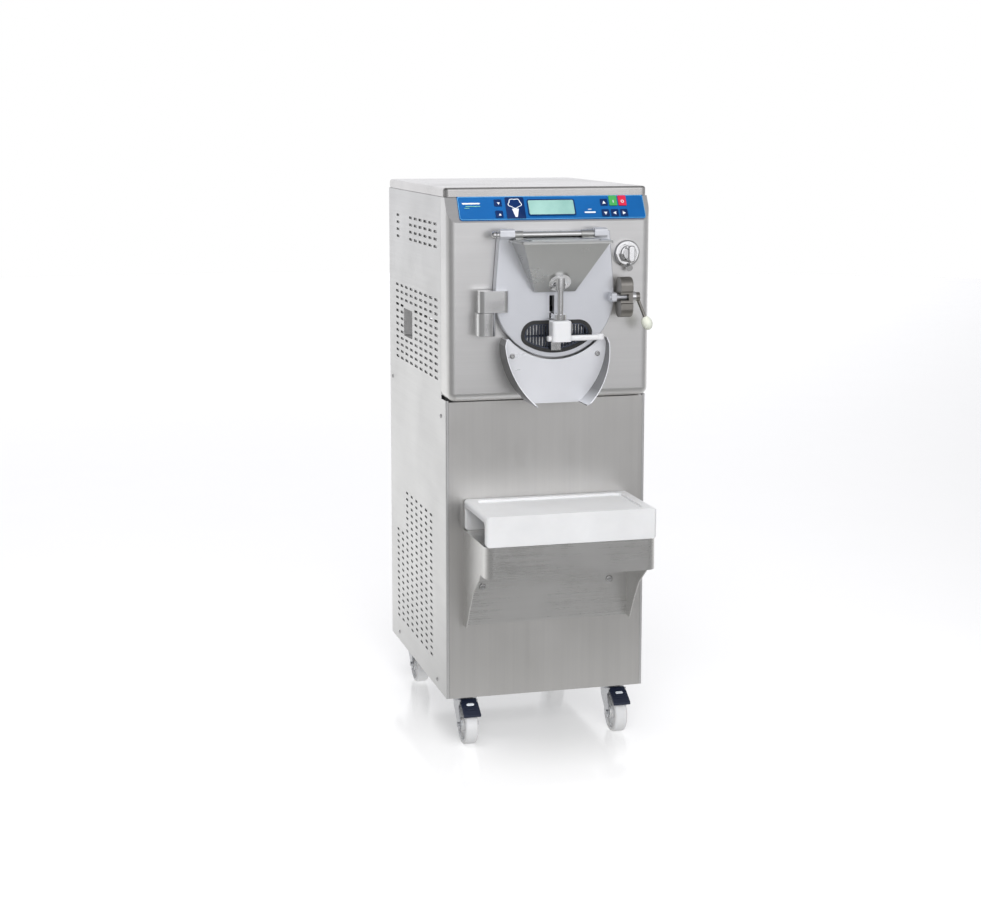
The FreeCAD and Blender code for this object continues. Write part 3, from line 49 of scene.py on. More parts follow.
# ---- materials -----------------------------------------------------------------------------
class Shader:
    """A Principled material with short calls for the nodes that feed it."""

    def __init__(self, name, **values):
        self.material = bpy.data.materials.new(name)
        self.material.use_nodes = True
        self.tree = self.material.node_tree
        self.surface = self.tree.nodes["Principled BSDF"]
        self.coords = self.tree.nodes.new("ShaderNodeTexCoord").outputs["Object"]
        for key, value in values.items():
            self.surface.inputs[key.replace("_", " ")].default_value = value

    def link(self, output, node, socket):
        self.tree.links.new(output, node.inputs[socket])

    def scaled(self, scale):
        """Object coordinates, stretched by a factor along each axis."""
        mapping = self.tree.nodes.new("ShaderNodeMapping")
        mapping.inputs["Scale"].default_value = scale
        self.link(self.coords, mapping, "Vector")
        return mapping.outputs["Vector"]

    def noise(self, scale, detail, rough, stretch=(1, 1, 1)):
        """Noise with so many features to the metre."""
        node = self.tree.nodes.new("ShaderNodeTexNoise")
        node.inputs["Scale"].default_value = scale
        node.inputs["Detail"].default_value = detail
        node.inputs["Roughness"].default_value = rough
        self.link(self.scaled(stretch), node, "Vector")
        return node.outputs["Fac"]

    def cells(self, scale):
        node = self.tree.nodes.new("ShaderNodeTexVoronoi")
        node.inputs["Scale"].default_value = scale
        self.link(self.coords, node, "Vector")
        return node.outputs["Distance"]

    def ramp(self, value, stops):
        """Colour ramp; stops are (position, colour or grey)."""
        node = self.tree.nodes.new("ShaderNodeValToRGB")
        band = node.color_ramp
        while len(band.elements) < len(stops):
            band.elements.new(0.5)
        for element, (position, colour) in zip(band.elements, stops):
            element.position = position
            if isinstance(colour, (int, float)):
                colour = (colour, colour, colour)
            element.color = (*colour, 1.0)
        self.link(value, node, "Fac")
        return node.outputs["Color"]

    def spread(self, value, low, high, from_low=0.3, from_high=0.7):
        """Maps a value between from_low and from_high to low and high."""
        node = self.tree.nodes.new("ShaderNodeMapRange")
        node.inputs["From Min"].default_value = from_low
        node.inputs["From Max"].default_value = from_high
        node.inputs["To Min"].default_value = low
        node.inputs["To Max"].default_value = high
        self.link(value, node, "Value")
        return node.outputs["Result"]

    def combine(self, operation, first, second):
        node = self.tree.nodes.new("ShaderNodeMath")
        node.operation = operation
        for index, value in enumerate((first, second)):
            if isinstance(value, (int, float)):
                node.inputs[index].default_value = value
            else:
                self.link(value, node, index)
        return node.outputs["Value"]

    def bump(self, height, strength, distance, below=None):
        """Bump of a given depth in metres, on top of another one."""
        node = self.tree.nodes.new("ShaderNodeBump")
        node.inputs["Strength"].default_value = strength
        node.inputs["Distance"].default_value = distance
        self.link(height, node, "Height")
        if below is not None:
            self.link(below, node, "Normal")
        return node.outputs["Normal"]

    def colour(self, output):
        self.link(output, self.surface, "Base Color")

    def roughness(self, output):
        self.link(output, self.surface, "Roughness")

    def normal(self, output):
        self.link(output, self.surface, "Normal")


def shades(colour, spread):
    """A darker and a lighter version of a colour."""
    return [tuple(c * (1 - spread) for c in colour), tuple(min(1.0, c * (1 + spread)) for c in colour)]


# lines and broad streaks of brushed sheet: features to the metre along x, y and z
GRAIN = {"x": (4.0, 900.0, 900.0), "y": (900.0, 4.0, 900.0), "z": (900.0, 900.0, 4.0)}
STREAK = {"x": (0.5, 60.0, 60.0), "y": (60.0, 0.5, 60.0), "z": (60.0, 60.0, 0.5)}
MIX_A, MIX_B, MIX_RESULT = 6, 7, 2      # the Mix node's colour sockets


def brushed_steel(name, colour, rough, grain="x", streak=0.05, lines=0.25):
    """Satin steel: fine lines along one axis, broad faint streaks, handling marks."""
    m = Shader(name, Metallic=1.0)
    fine = m.noise(1.0, 2.0, 0.5, GRAIN[grain])
    broad = m.noise(1.0, 3.0, 0.6, STREAK[grain])
    marks = m.noise(5.5, 6.0, 0.62)
    mixed = m.combine("ADD", m.combine("MULTIPLY", fine, 0.35), m.combine("MULTIPLY", broad, 0.65))
    dark, light = shades(colour, streak)
    m.colour(m.ramp(mixed, [(0.32, dark), (0.68, light)]))
    base = m.spread(fine, rough - 0.05, rough + 0.05)
    smudge = m.spread(marks, -0.035, 0.045, 0.35, 0.7)
    m.roughness(m.combine("ADD", base, smudge))
    dents = m.bump(marks, 0.035, 0.004)
    m.normal(m.bump(fine, lines, 0.00006, dents))
    return m.material


def satin_steel(name, colour, rough, painted_shade_flank=None, metallic=1.0):
    """Electropolished steel: fine even grain, soft clouds, wipe marks; the optional flank colour is painted
    shade, put on faces that look to the left or right."""
    m = Shader(name, Metallic=metallic)
    clouds = m.noise(7.0, 5.0, 0.55)
    grain = m.noise(1500.0, 2.0, 0.5)
    wipe = m.noise(1.0, 4.0, 0.6, (9.0, 9.0, 34.0))
    dark, light = shades(colour, 0.03)
    tone = m.ramp(clouds, [(0.35, dark), (0.68, light)])
    # painted shade: faces that look to the left or right take the dark flank colour in place of the steel's
    # tone
    if painted_shade_flank:
        split = m.tree.nodes.new("ShaderNodeSeparateXYZ")
        m.link(m.tree.nodes.new("ShaderNodeTexCoord").outputs["Normal"], split, "Vector")
        sideways = m.combine("ABSOLUTE", split.outputs["X"], 0)
        blend = m.tree.nodes.new("ShaderNodeMix")
        blend.data_type = "RGBA"
        m.link(m.spread(sideways, 0.0, 1.0, 0.62, 0.80), blend, "Factor")
        dark, light = shades(painted_shade_flank, 0.15)
        m.link(tone, blend, MIX_A)
        m.link(m.ramp(clouds, [(0.3, dark), (0.7, light)]), blend, MIX_B)
        tone = blend.outputs[MIX_RESULT]
    m.colour(tone)
    m.roughness(m.combine("ADD", m.spread(clouds, rough - 0.03, rough + 0.04), m.spread(wipe, -0.03, 0.04)))
    m.normal(m.bump(grain, 0.04, 0.00003, m.bump(clouds, 0.02, 0.002)))
    return m.material


def polished_steel(name, colour, rough):
    """Bright turned or polished steel with wiping marks and fine scratches."""
    m = Shader(name, Metallic=1.0)
    wipe = m.noise(26.0, 5.0, 0.65)
    scratch = m.noise(1.0, 3.0, 0.7, (260.0, 260.0, 1500.0))
    dark, light = shades(colour, 0.06)
    m.colour(m.ramp(wipe, [(0.35, dark), (0.7, light)]))
    m.roughness(m.combine("ADD", m.spread(wipe, rough - 0.03, rough + 0.06), m.spread(scratch, -0.02, 0.03)))
    m.normal(m.bump(scratch, 0.12, 0.00005, m.bump(wipe, 0.05, 0.0008)))
    return m.material


def cast_metal(name, colour, rough):
    """Sand-cast or die-cast metal: grainy, a little uneven."""
    m = Shader(name, Metallic=1.0)
    grains = m.noise(900.0, 3.0, 0.6)
    clouds = m.noise(18.0, 5.0, 0.6)
    dark, light = shades(colour, 0.16)
    m.colour(m.ramp(clouds, [(0.3, dark), (0.7, light)]))
    m.roughness(m.spread(clouds, rough - 0.08, rough + 0.08))
    m.normal(m.bump(grains, 0.35, 0.0003, m.bump(clouds, 0.1, 0.001)))
    return m.material


def zinc_plate(name):
    """Passivated zinc on stamped steel: soft spangle, bluish cast."""
    m = Shader(name, Metallic=1.0)
    spangle = m.cells(240.0)
    clouds = m.noise(30.0, 5.0, 0.6)
    mixed = m.combine("ADD", m.combine("MULTIPLY", spangle, 0.6), m.combine("MULTIPLY", clouds, 0.6))
    m.colour(m.ramp(mixed, [(0.25, (0.50, 0.51, 0.53)), (0.7, (0.72, 0.73, 0.75))]))
    m.roughness(m.spread(mixed, 0.24, 0.42, 0.2, 0.8))
    m.normal(m.bump(clouds, 0.08, 0.0006))
    return m.material


def painted(name, colour, rough):
    """Stoved enamel with a little orange peel and dust."""
    m = Shader(name, Coat_Weight=0.15, Coat_Roughness=0.25)
    peel = m.noise(420.0, 2.0, 0.5)
    dust = m.noise(14.0, 6.0, 0.65)
    dark, light = shades(colour, 0.14)
    m.colour(m.ramp(dust, [(0.35, dark), (0.72, light)]))
    m.roughness(m.spread(dust, rough - 0.06, rough + 0.12))
    m.normal(m.bump(peel, 0.15, 0.0002))
    return m.material


def moulded(name, colour, rough, grain, depth, coat, soft):
    """Moulded plastic: spark-eroded grain, faint flow marks, slightly uneven gloss."""
    m = Shader(name, Subsurface_Weight=soft, Subsurface_Scale=0.004, Coat_Weight=coat, Coat_Roughness=0.12)
    m.surface.inputs["Subsurface Radius"].default_value = (1.0, 0.9, 0.8)
    fine = m.noise(grain, 3.0, 0.55)
    flow = m.noise(9.0, 5.0, 0.6)
    dark, light = shades(colour, 0.035)
    m.colour(m.ramp(flow, [(0.35, dark), (0.68, light)]))
    m.roughness(m.spread(flow, rough - 0.05, rough + 0.07))
    m.normal(m.bump(fine, depth, 0.00025, m.bump(flow, 0.05, 0.002)))
    return m.material


def rubber(name):
    """Black rubber with a pale bloom."""
    m = Shader(name)
    bloom = m.noise(60.0, 5.0, 0.65)
    fine = m.noise(1400.0, 2.0, 0.5)
    m.colour(m.ramp(bloom, [(0.35, 0.022), (0.75, 0.05)]))
    m.roughness(m.spread(bloom, 0.5, 0.72))
    m.normal(m.bump(fine, 0.25, 0.0002))
    return m.material


def printed_label(name, colour):
    """Polyester overlay printed from behind: fine matt texture, soft tone change."""
    m = Shader(name, Coat_Weight=0.12, Coat_Roughness=0.3, Specular_IOR_Level=0.3)
    fine = m.noise(1600.0, 2.0, 0.5)
    tone = m.noise(7.0, 4.0, 0.55)
    dark, light = shades(colour, 0.10)
    m.colour(m.ramp(tone, [(0.35, dark), (0.68, light)]))
    m.roughness(m.spread(tone, 0.30, 0.42))
    m.normal(m.bump(fine, 0.12, 0.0001))
    return m.material


def liquid_crystal(name):
    """Backlit display: pale green field with a fine dot raster and a soft bright middle."""
    m = Shader(name, Coat_Weight=0.8, Coat_Roughness=0.06, Roughness=0.35, Emission_Strength=0.22)
    raster = []
    for direction in ("X", "Z"):
        wave = m.tree.nodes.new("ShaderNodeTexWave")
        wave.bands_direction = direction
        wave.inputs["Scale"].default_value = 160.0
        m.link(m.coords, wave, "Vector")
        raster.append(wave.outputs["Fac"])
    dots = m.combine("MINIMUM", *raster)
    cloud = m.noise(16.0, 3.0, 0.5)
    level = m.combine("ADD", m.combine("MULTIPLY", dots, 0.25), m.combine("MULTIPLY", cloud, 0.75))
    field = m.ramp(level, [(0.2, (0.20, 0.38, 0.345)), (0.7, (0.33, 0.54, 0.49))])
    m.colour(field)
    m.link(field, m.surface, "Emission Color")
    return m.material


def screen_mesh(name):
    """Pale woven filter cloth with a light film of dust."""
    m = Shader(name, Metallic=0.2)
    weave = m.cells(900.0)
    dust = m.noise(20.0, 5.0, 0.6)
    m.colour(m.ramp(dust, [(0.35, 0.80), (0.7, 0.92)]))
    m.roughness(m.spread(dust, 0.5, 0.7))
    m.normal(m.bump(weave, 0.4, 0.0004))
    return m.material


def copper(name):
    """Bare copper pipe, tarnished in patches."""
    m = Shader(name, Metallic=1.0)
    tarnish = m.noise(35.0, 6.0, 0.65)
    m.colour(m.ramp(tarnish, [(0.35, (0.36, 0.17, 0.09)), (0.65, (0.72, 0.40, 0.26))]))
    m.roughness(m.spread(tarnish, 0.22, 0.45))
    m.normal(m.bump(tarnish, 0.05, 0.0008))
    return m.material


def foam(name):
    """Rigid foam with open bubbles."""
    m = Shader(name, Roughness=0.9)
    bubbles = m.cells(350.0)
    clouds = m.noise(12.0, 5.0, 0.6)
    m.colour(m.ramp(clouds, [(0.3, (0.62, 0.52, 0.28)), (0.7, (0.82, 0.74, 0.48))]))
    m.normal(m.bump(bubbles, 0.5, 0.0012))
    return m.material


MATERIALS = {
    "front_steel": brushed_steel("front_steel", (0.72, 0.71, 0.69), 0.36, "z", 0.03, 0.10),
    "housing_steel": brushed_steel("housing_steel", (0.80, 0.795, 0.785), 0.36, "x", 0.03, 0.10),
    "side_steel": brushed_steel("side_steel", (0.76, 0.76, 0.755), 0.40, "y", 0.02, 0.10),
    "lid_steel": brushed_steel("lid_steel", (0.60, 0.59, 0.575), 0.24, "x", 0.03, 0.10),
    "door_steel": satin_steel("door_steel", (0.74, 0.755, 0.795), 0.32, None, 0.7),
    "hinge_steel": satin_steel("hinge_steel", (0.80, 0.80, 0.80), 0.15),
    "hopper_steel": satin_steel("hopper_steel", (0.62, 0.625, 0.61), 0.30),
    # the chute's dark flank colour is painted shade on its side walls
    "chute_steel": satin_steel("chute_steel", (0.80, 0.81, 0.845), 0.30, (0.15, 0.15, 0.155), 0.35),
    "bracket_steel": brushed_steel("bracket_steel", (0.74, 0.735, 0.72), 0.30, "x", 0.02, 0.05),
    "cam_steel": brushed_steel("cam_steel", (0.34, 0.325, 0.30), 0.34, "y", 0.08),
    "bright_steel": polished_steel("bright_steel", (0.80, 0.80, 0.80), 0.10),
    "screw_steel": polished_steel("screw_steel", (0.62, 0.62, 0.62), 0.22),
    "grille_steel": polished_steel("grille_steel", (0.11, 0.125, 0.165), 0.34),
    "cylinder_steel": brushed_steel("cylinder_steel", (0.60, 0.60, 0.60), 0.25, "y", 0.04),
    "cast_alu": cast_metal("cast_alu", (0.52, 0.52, 0.52), 0.45),
    "fins": cast_metal("fins", (0.62, 0.63, 0.64), 0.38),
    "zinc": zinc_plate("zinc"),
    "frame_paint": painted("frame_paint", (0.16, 0.165, 0.17), 0.45),
    "black_enamel": painted("black_enamel", (0.018, 0.018, 0.02), 0.32),
    "motor_enamel": painted("motor_enamel", (0.12, 0.15, 0.19), 0.40),
    "box_paint": painted("box_paint", (0.45, 0.46, 0.46), 0.42),
    "tray_white": moulded("tray_white", (0.82, 0.825, 0.83), 0.42, 620.0, 0.16, 0.05, 0.12),
    "grip_white": moulded("grip_white", (0.80, 0.805, 0.82), 0.30, 900.0, 0.10, 0.15, 0.10),
    "knob_cream": moulded("knob_cream", (0.78, 0.80, 0.70), 0.22, 900.0, 0.05, 0.4, 0.10),
    "nylon_white": moulded("nylon_white", (0.78, 0.785, 0.79), 0.38, 800.0, 0.14, 0.05, 0.15),
    "dark_plastic": moulded("dark_plastic", (0.028, 0.028, 0.03), 0.42, 800.0, 0.25, 0.0, 0.0),
    "pedal_blue": moulded("pedal_blue", (0.016, 0.022, 0.045), 0.36, 700.0, 0.25, 0.1, 0.0),
    "key_green": moulded("key_green", (0.055, 0.36, 0.085), 0.34, 900.0, 0.12, 0.2, 0.0),
    "key_red": moulded("key_red", (0.62, 0.012, 0.055), 0.34, 900.0, 0.12, 0.2, 0.0),
    "label_blue": printed_label("label_blue", (0.001, 0.105, 0.345)),
    "label_navy": printed_label("label_navy", (0.002, 0.022, 0.105)),
    "label_edge": printed_label("label_edge", (0.10, 0.34, 0.60)),
    "ink_white": printed_label("ink_white", (0.78, 0.82, 0.86)),
    "ink_green": printed_label("ink_green", (0.20, 0.52, 0.42)),
    "display": liquid_crystal("display"),
    "screen_mesh": screen_mesh("screen_mesh"),
    "rubber": rubber("rubber"),
    "copper": copper("copper"),
    "foam": foam("foam"),
}

CORNERS = ("front_left", "front_right", "rear_left", "rear_right")

# material of each CAD node
FINISH = {
    "front_steel": ["lower_front_panel"],
    "housing_steel": ["upper_front_housing"],
    "side_steel": ["left_side_panel", "right_side_panel", "rear_panel"],
    "lid_steel": ["top_lid"],
    "door_steel": ["door_plate"],
    "hinge_steel": ["hinge_post", "hinge_arm"],
    "hopper_steel": ["hopper", "hopper_lid"],
    "chute_steel": ["chute"],
    "bracket_steel": ["shelf_bracket"],
    "cam_steel": ["lock_cam"],
    "bright_steel": ["hinge_pin", "lock_bracket", "tap_escutcheon", "tap_knob", "lid_rod", "gate_rod",
                     "gate_plate", "water_inlet"],
    "screw_steel": ["machine_screws"],
    "grille_steel": ["outlet_grille"],
    "cylinder_steel": ["freezing_cylinder", "beater"],
    "cast_alu": ["bearing_housing", "driven_pulley", "motor_pulley"],
    "fins": ["condenser"],
    "zinc": ["castor_plates"] + [corner + "_fork" for corner in CORNERS],
    "frame_paint": ["chassis_frame"],
    "black_enamel": ["compressor", "fan_shroud"],
    "motor_enamel": ["motor"],
    "box_paint": ["electrical_box"],
    "tray_white": ["shelf_tray"],
    "grip_white": ["gate_handle"],
    "knob_cream": ["lock_knob"],
    "nylon_white": [corner + "_wheel" for corner in CORNERS],
    "dark_plastic": ["cable_gland", "condenser_fan"],
    "pedal_blue": ["front_left_pedal", "front_right_pedal"],
    "key_green": ["start_key"],
    "key_red": ["stop_key"],
    "label_blue": ["control_label"],
    "display": ["display_window"],
    "rubber": ["door_gasket", "outlet_gasket", "drive_belt"],
    "copper": ["refrigerant_pipes"],
    "foam": ["cylinder_insulation"],
}


def finish_cad_nodes():
    """Gives every CAD node its material, and stops if one has none."""
    finished = set()
    for material, nodes in FINISH.items():
        for node in nodes:
            slots = NODES[node].material_slots
            if not slots:
                NODES[node].data.materials.append(MATERIALS[material])
            for place in slots:
                place.material = MATERIALS[material]
            finished.add(node)
    missing = set(NODES) - finished
    assert not missing, missing


# ---- mesh helpers --------------------------------------------------------------------------
WELD = 0.001 * MM        # vertices nearer than this are one


def add_piece(name, bm, material, body, smooth=35.0):
    """Turns a bmesh into a piece that rides on a body."""
    bmesh.ops.remove_doubles(bm, verts=bm.verts, dist=WELD)
    bmesh.ops.recalc_face_normals(bm, faces=bm.faces)
    mesh = bpy.data.meshes.new(name)
    bm.to_mesh(mesh)
    bm.free()
    for polygon in mesh.polygons:
        polygon.use_smooth = True
    mesh.set_sharp_from_angle(angle=math.radians(smooth))
    piece = bpy.data.objects.new(name, mesh)
    bpy.context.scene.collection.objects.link(piece)
    mesh.materials.append(MATERIALS[material])
    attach(piece, body)


def rounded_rectangle(x, y, width, height, radius, steps=6):
    """Outline about a middle, with rounded corners."""
    points = []
    corners = [(1, 1, 0), (-1, 1, 90), (-1, -1, 180), (1, -1, 270)]
    for sx, sy, start in corners:
        cx = x + sx * (width / 2 - radius)
        cy = y + sy * (height / 2 - radius)
        for step in range(steps + 1):
            angle = math.radians(start + 90 * step / steps)
            points.append((cx + radius * math.cos(angle), cy + radius * math.sin(angle)))
    return points


def circle(x, y, radius, steps=40):
    angles = [2 * math.pi * step / steps for step in range(steps)]
    return [(x + radius * math.cos(a), y + radius * math.sin(a)) for a in angles]


def grown(points, amount):
    """Outline of a convex or star-shaped figure moved outwards about its middle by a fixed amount."""
    cx = sum(p[0] for p in points) / len(points)
    cy = sum(p[1] for p in points) / len(points)
    result = []
    for x, y in points:
        away = Vector((x - cx, y - cy))
        away.length += amount
        result.append((cx + away.x, cy + away.y))
    return result


def add_slab(bm, outline, low, high, place, ease=0.0):
    """Closed slab over an outline between two heights; ease rounds its upper edge in two steps."""
    levels = [(0.0, low), (0.0, high - ease)]
    if ease:
        levels += [(-0.3 * ease, high - 0.3 * ease), (-ease, high)]
    loops = [[bm.verts.new(place(x, y, z)) for x, y in grown(outline, inset)] for inset, z in levels]
    count = len(outline)
    for below, above in zip(loops, loops[1:]):
        for i in range(count):
            j = (i + 1) % count
            bm.faces.new((below[i], below[j], above[j], above[i]))
    bm.faces.new(loops[0][::-1])
    bm.faces.new(loops[-1])


def add_band(bm, outer, inner, low, high, place):
    """Closed ring between two outlines of equal length."""
    loops = [[bm.verts.new(place(x, y, z)) for x, y in line]
             for line, z in ((outer, low), (outer, high), (inner, high), (inner, low))]
    count = len(outer)
    for first, second in zip(loops, loops[1:] + loops[:1]):
        for i in range(count):
            j = (i + 1) % count
            bm.faces.new((first[i], first[j], second[j], second[i]))


# ---- control label -------------------------------------------------------------------------
class Fascia:
    """The printed label's own plane: x across, s up the slope from its lower edge, h outwards."""

    def __init__(self):
        inward = Vector(JOINTS["start_press"]["axis"])
        self.out = -inward.normalized()
        self.up = Vector((0, self.out.z, -self.out.y))
        points = [v.co for v in NODES["control_label"].data.vertices]
        self.base_h = max(p.dot(self.out) for p in points)
        self.base_s = min(p.dot(self.up) for p in points)
        self.height = max(p.dot(self.up) for p in points) - self.base_s
        self.left = min(p.x for p in points)
        self.right = max(p.x for p in points)

    def place(self, x, s, h):
        return Vector((x, 0, 0)) + self.up * (self.base_s + s) + self.out * (self.base_h + h)

    def span(self, node):
        """Middle x, middle s, width, height and top h of a CAD node that lies on the fascia."""
        points = [v.co for v in NODES[node].data.vertices]
        xs = [p.x for p in points]
        ss = [p.dot(self.up) - self.base_s for p in points]
        top = max(p.dot(self.out) for p in points) - self.base_h
        return ((min(xs) + max(xs)) / 2, (min(ss) + max(ss)) / 2, max(xs) - min(xs), max(ss) - min(ss), top)


PAD = 19 * MM            # membrane pads
PAD_LIFT = 0.35 * MM     # top of a pad over the label
INK = 0.12 * MM          # height of printed marks
SINK = 0.05 * MM         # how deep a mark goes into what carries it
EASE = 0.2 * MM          # rounding of a pad's edge


def ink(name, outlines, fascia, material="ink_white", body="cabinet", base=0.0):
    """Printed marks as one piece, on a surface at height base."""
    bm = bmesh.new()
    for outline in outlines:
        add_slab(bm, outline, base - SINK, base + INK, fascia.place)
    add_piece(name, bm, material, body)


def raised_field(name, outline, fascia):
    """Dark domed field of the overlay."""
    bm = bmesh.new()
    add_slab(bm, outline, -SINK, PAD_LIFT, fascia.place, EASE)
    add_piece(name, bm, "label_navy", "cabinet")


def membrane_pad(name, x, s, fascia):
    raised_field(name, rounded_rectangle(x, s, PAD, PAD, 2.2 * MM), fascia)


def arrow(x, s, size, quarter):
    """Triangle that points up, left, down or right for quarter 0 to 3."""
    turn = math.radians(90 * quarter)
    corners = [(0, 0.6), (-0.55, -0.4), (0.55, -0.4)]
    return [(x + size * (px * math.cos(turn) - py * math.sin(turn)),
             s + size * (px * math.sin(turn) + py * math.cos(turn))) for px, py in corners]


def bar(x, s, width, height):
    """Outline of a bar with nearly round ends."""
    return rounded_rectangle(x, s, width, height, min(width, height) * 0.45)


def control_graphics(fascia):
    """Border, plain bars, pads with arrows, and the pictogram."""
    width = fascia.right - fascia.left
    middle = fascia.height / 2

    def across(share):
        return fascia.left + share * width

    # light printed border along the edge of the overlay
    edge = rounded_rectangle(across(0.5), middle, width - 1.2 * MM, fascia.height - 1.2 * MM, 6.5 * MM)
    inner = rounded_rectangle(across(0.5), middle, width - 4.0 * MM, fascia.height - 4.0 * MM, 5.1 * MM)
    bm = bmesh.new()
    add_band(bm, edge, inner, -SINK, 0.06 * MM, fascia.place)
    add_piece("label_border", bm, "label_edge", "cabinet")

    # plain bars where a name plate would be
    name_s = fascia.height * 0.70
    ink("name_bar", [bar(across(0.070), name_s, 44 * MM, 4.0 * MM)], fascia)
    ink("name_underline", [bar(across(0.078), name_s - 7.5 * MM, 36 * MM, 1.8 * MM)], fascia, "ink_green")
    ink("name_note", [bar(across(0.045), name_s - 12.5 * MM, 12 * MM, 1.5 * MM)], fascia, "ink_green")
    ink("model_bar", [bar(across(0.699), fascia.height * 0.27, 28 * MM, 4.2 * MM),
                      bar(across(0.699), fascia.height * 0.40, 9 * MM, 1.6 * MM)], fascia)

    # two pads beside the pictogram
    column = across(0.212)
    for name, s, quarter in (("pad_raise", 0.24, 0), ("pad_lower", 0.72, 2)):
        membrane_pad(name, column, fascia.height * s, fascia)
        ink(name + "_mark", [arrow(column + 1.5 * MM, fascia.height * s - 1.5 * MM, 6.5 * MM, quarter)],
            fascia, base=PAD_LIFT)

    # ice cream pictogram on a dark field
    field_x = across(0.301)
    field = rounded_rectangle(field_x, middle, 47 * MM, fascia.height - 5 * MM, 3 * MM)
    raised_field("pictogram_field", field, fascia)
    scoop_outline(field_x, middle + 12 * MM, fascia)
    cone = [(field_x - 8.5 * MM, middle - 2.5 * MM), (field_x - 3 * MM, middle - 25 * MM),
            (field_x + 3 * MM, middle - 25 * MM), (field_x + 8.5 * MM, middle - 2.5 * MM)]
    ink("pictogram_cone", [cone], fascia, base=PAD_LIFT)

    # four pads round the two coloured keys
    start_x, key_s = fascia.span("start_key")[:2]
    stop_x = fascia.span("stop_key")[0]
    pitch = stop_x - start_x
    pad_s = fascia.height * 0.24
    pads = (("pad_plus", start_x - pitch, key_s - 4 * MM, 0), ("pad_minus", start_x - pitch, pad_s, 2),
            ("pad_back", start_x, pad_s, 1), ("pad_next", stop_x, pad_s, 3))
    for name, x, s, quarter in pads:
        membrane_pad(name, x, s, fascia)
        ink(name + "_mark", [arrow(x, s - 1 * MM, 8 * MM, quarter)], fascia, base=PAD_LIFT)


def scoop_outline(x, s, fascia):
    """Line drawing of a scoop: a ring with five soft lobes."""
    steps = 80
    outer, inner = [], []
    for step in range(steps):
        angle = 2 * math.pi * step / steps
        radius = 15.0 * MM * (1 + 0.09 * math.cos(5 * angle + math.pi / 2))
        for line, r in ((outer, radius), (inner, radius - 2.0 * MM)):
            line.append((x + r * 1.12 * math.cos(angle), s + r * 0.88 * math.sin(angle)))
    bm = bmesh.new()
    add_band(bm, outer, inner, PAD_LIFT - SINK, PAD_LIFT + INK, fascia.place)
    add_piece("pictogram_scoop", bm, "ink_white", "cabinet")


def key_symbols(fascia):
    """A stroke on the start key and a ring on the stop key."""
    below = 3 * MM           # the symbols sit under the keys' middle
    x, s, _, _, top = fascia.span("start_key")
    stroke = bar(x, s - below, 1.8 * MM, 7.5 * MM)
    ink("start_stroke", [stroke], fascia, body="start", base=top)
    x, s, _, _, top = fascia.span("stop_key")
    outer, inner = (circle(x, s - below, radius) for radius in (4.0 * MM, 2.6 * MM))
    bm = bmesh.new()
    add_band(bm, outer, inner, top - SINK, top + INK, fascia.place)
    add_piece("stop_ring", bm, "ink_white", "stop")


def display_bezel(fascia):
    """Thin moulded frame round the display."""
    x, s, width, height, top = fascia.span("display_window")
    outer = rounded_rectangle(x, s, width + 5 * MM, height + 5 * MM, 6.0 * MM)
    inner = rounded_rectangle(x, s, width - 0.8 * MM, height - 0.8 * MM, 3.6 * MM)
    bm = bmesh.new()
    add_band(bm, outer, inner, -SINK, top + 0.35 * MM, fascia.place)
    add_piece("display_bezel", bm, "label_navy", "cabinet")


# ---- castor pedals -------------------------------------------------------------------------
RIBS = 4
FIRST_RIB = 16           # mm down the slope
RIB_PITCH = 7            # mm


def pedal_ribs(corner):
    """Cross ribs and a pale marker on the sloping top of a brake pedal."""
    low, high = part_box(corner + "_pedal")
    joint = JOINTS[corner + "_pedal_lift"]
    pivot = Vector(joint["pos_m"])
    upper = Vector((0, pivot.y - 1 * MM, pivot.z + 5 * MM))
    lower = Vector((0, low.y, pivot.z - 23 * MM))
    along = (lower - upper).normalized()
    out = Vector((0, along.z, -along.y))
    x = (low.x + high.x) / 2

    def place(u, v, h):
        return Vector((x + u, 0, 0)) + upper + along * v + out * h

    bm = bmesh.new()
    for index in range(RIBS):
        rib = bar(0, (FIRST_RIB + RIB_PITCH * index) * MM, 34 * MM, 2.6 * MM)
        add_slab(bm, rib, -0.6 * MM, 1.2 * MM, place, 0.5 * MM)
    add_piece(corner + "_pedal_ribs", bm, "pedal_blue", corner + "_brake")
    bm = bmesh.new()
    add_slab(bm, bar(1 * MM, 20 * MM, 19 * MM, 8 * MM), -0.3 * MM, 1.6 * MM, place, 0.3 * MM)
    add_piece(corner + "_pedal_mark", bm, "ink_white", corner + "_brake")


# ---- vent screens --------------------------------------------------------------------------
SCREEN_DEPTH = 3.4 * MM  # behind the panel's outer face
PLEAT = (1.2 * MM, 5 * MM)      # depth and pitch
CLOTH = 0.6 * MM         # thickness

# fields: name, first and last y behind the panel's front edge, lowest and highest z, all in mm;
# three of them go round the hand grip's cup
VENT_FIELDS = (
    ("upper", 78, 568, 1232, 1303),
    ("middle", 78, 568, 1060, 1117),
    ("middle_front", 78, 362, 905, 1059),
    ("middle_rear", 474, 568, 905, 1059),
    ("middle_low", 363, 473, 905, 975),
    ("lower", 143, 576, 190, 568),
)


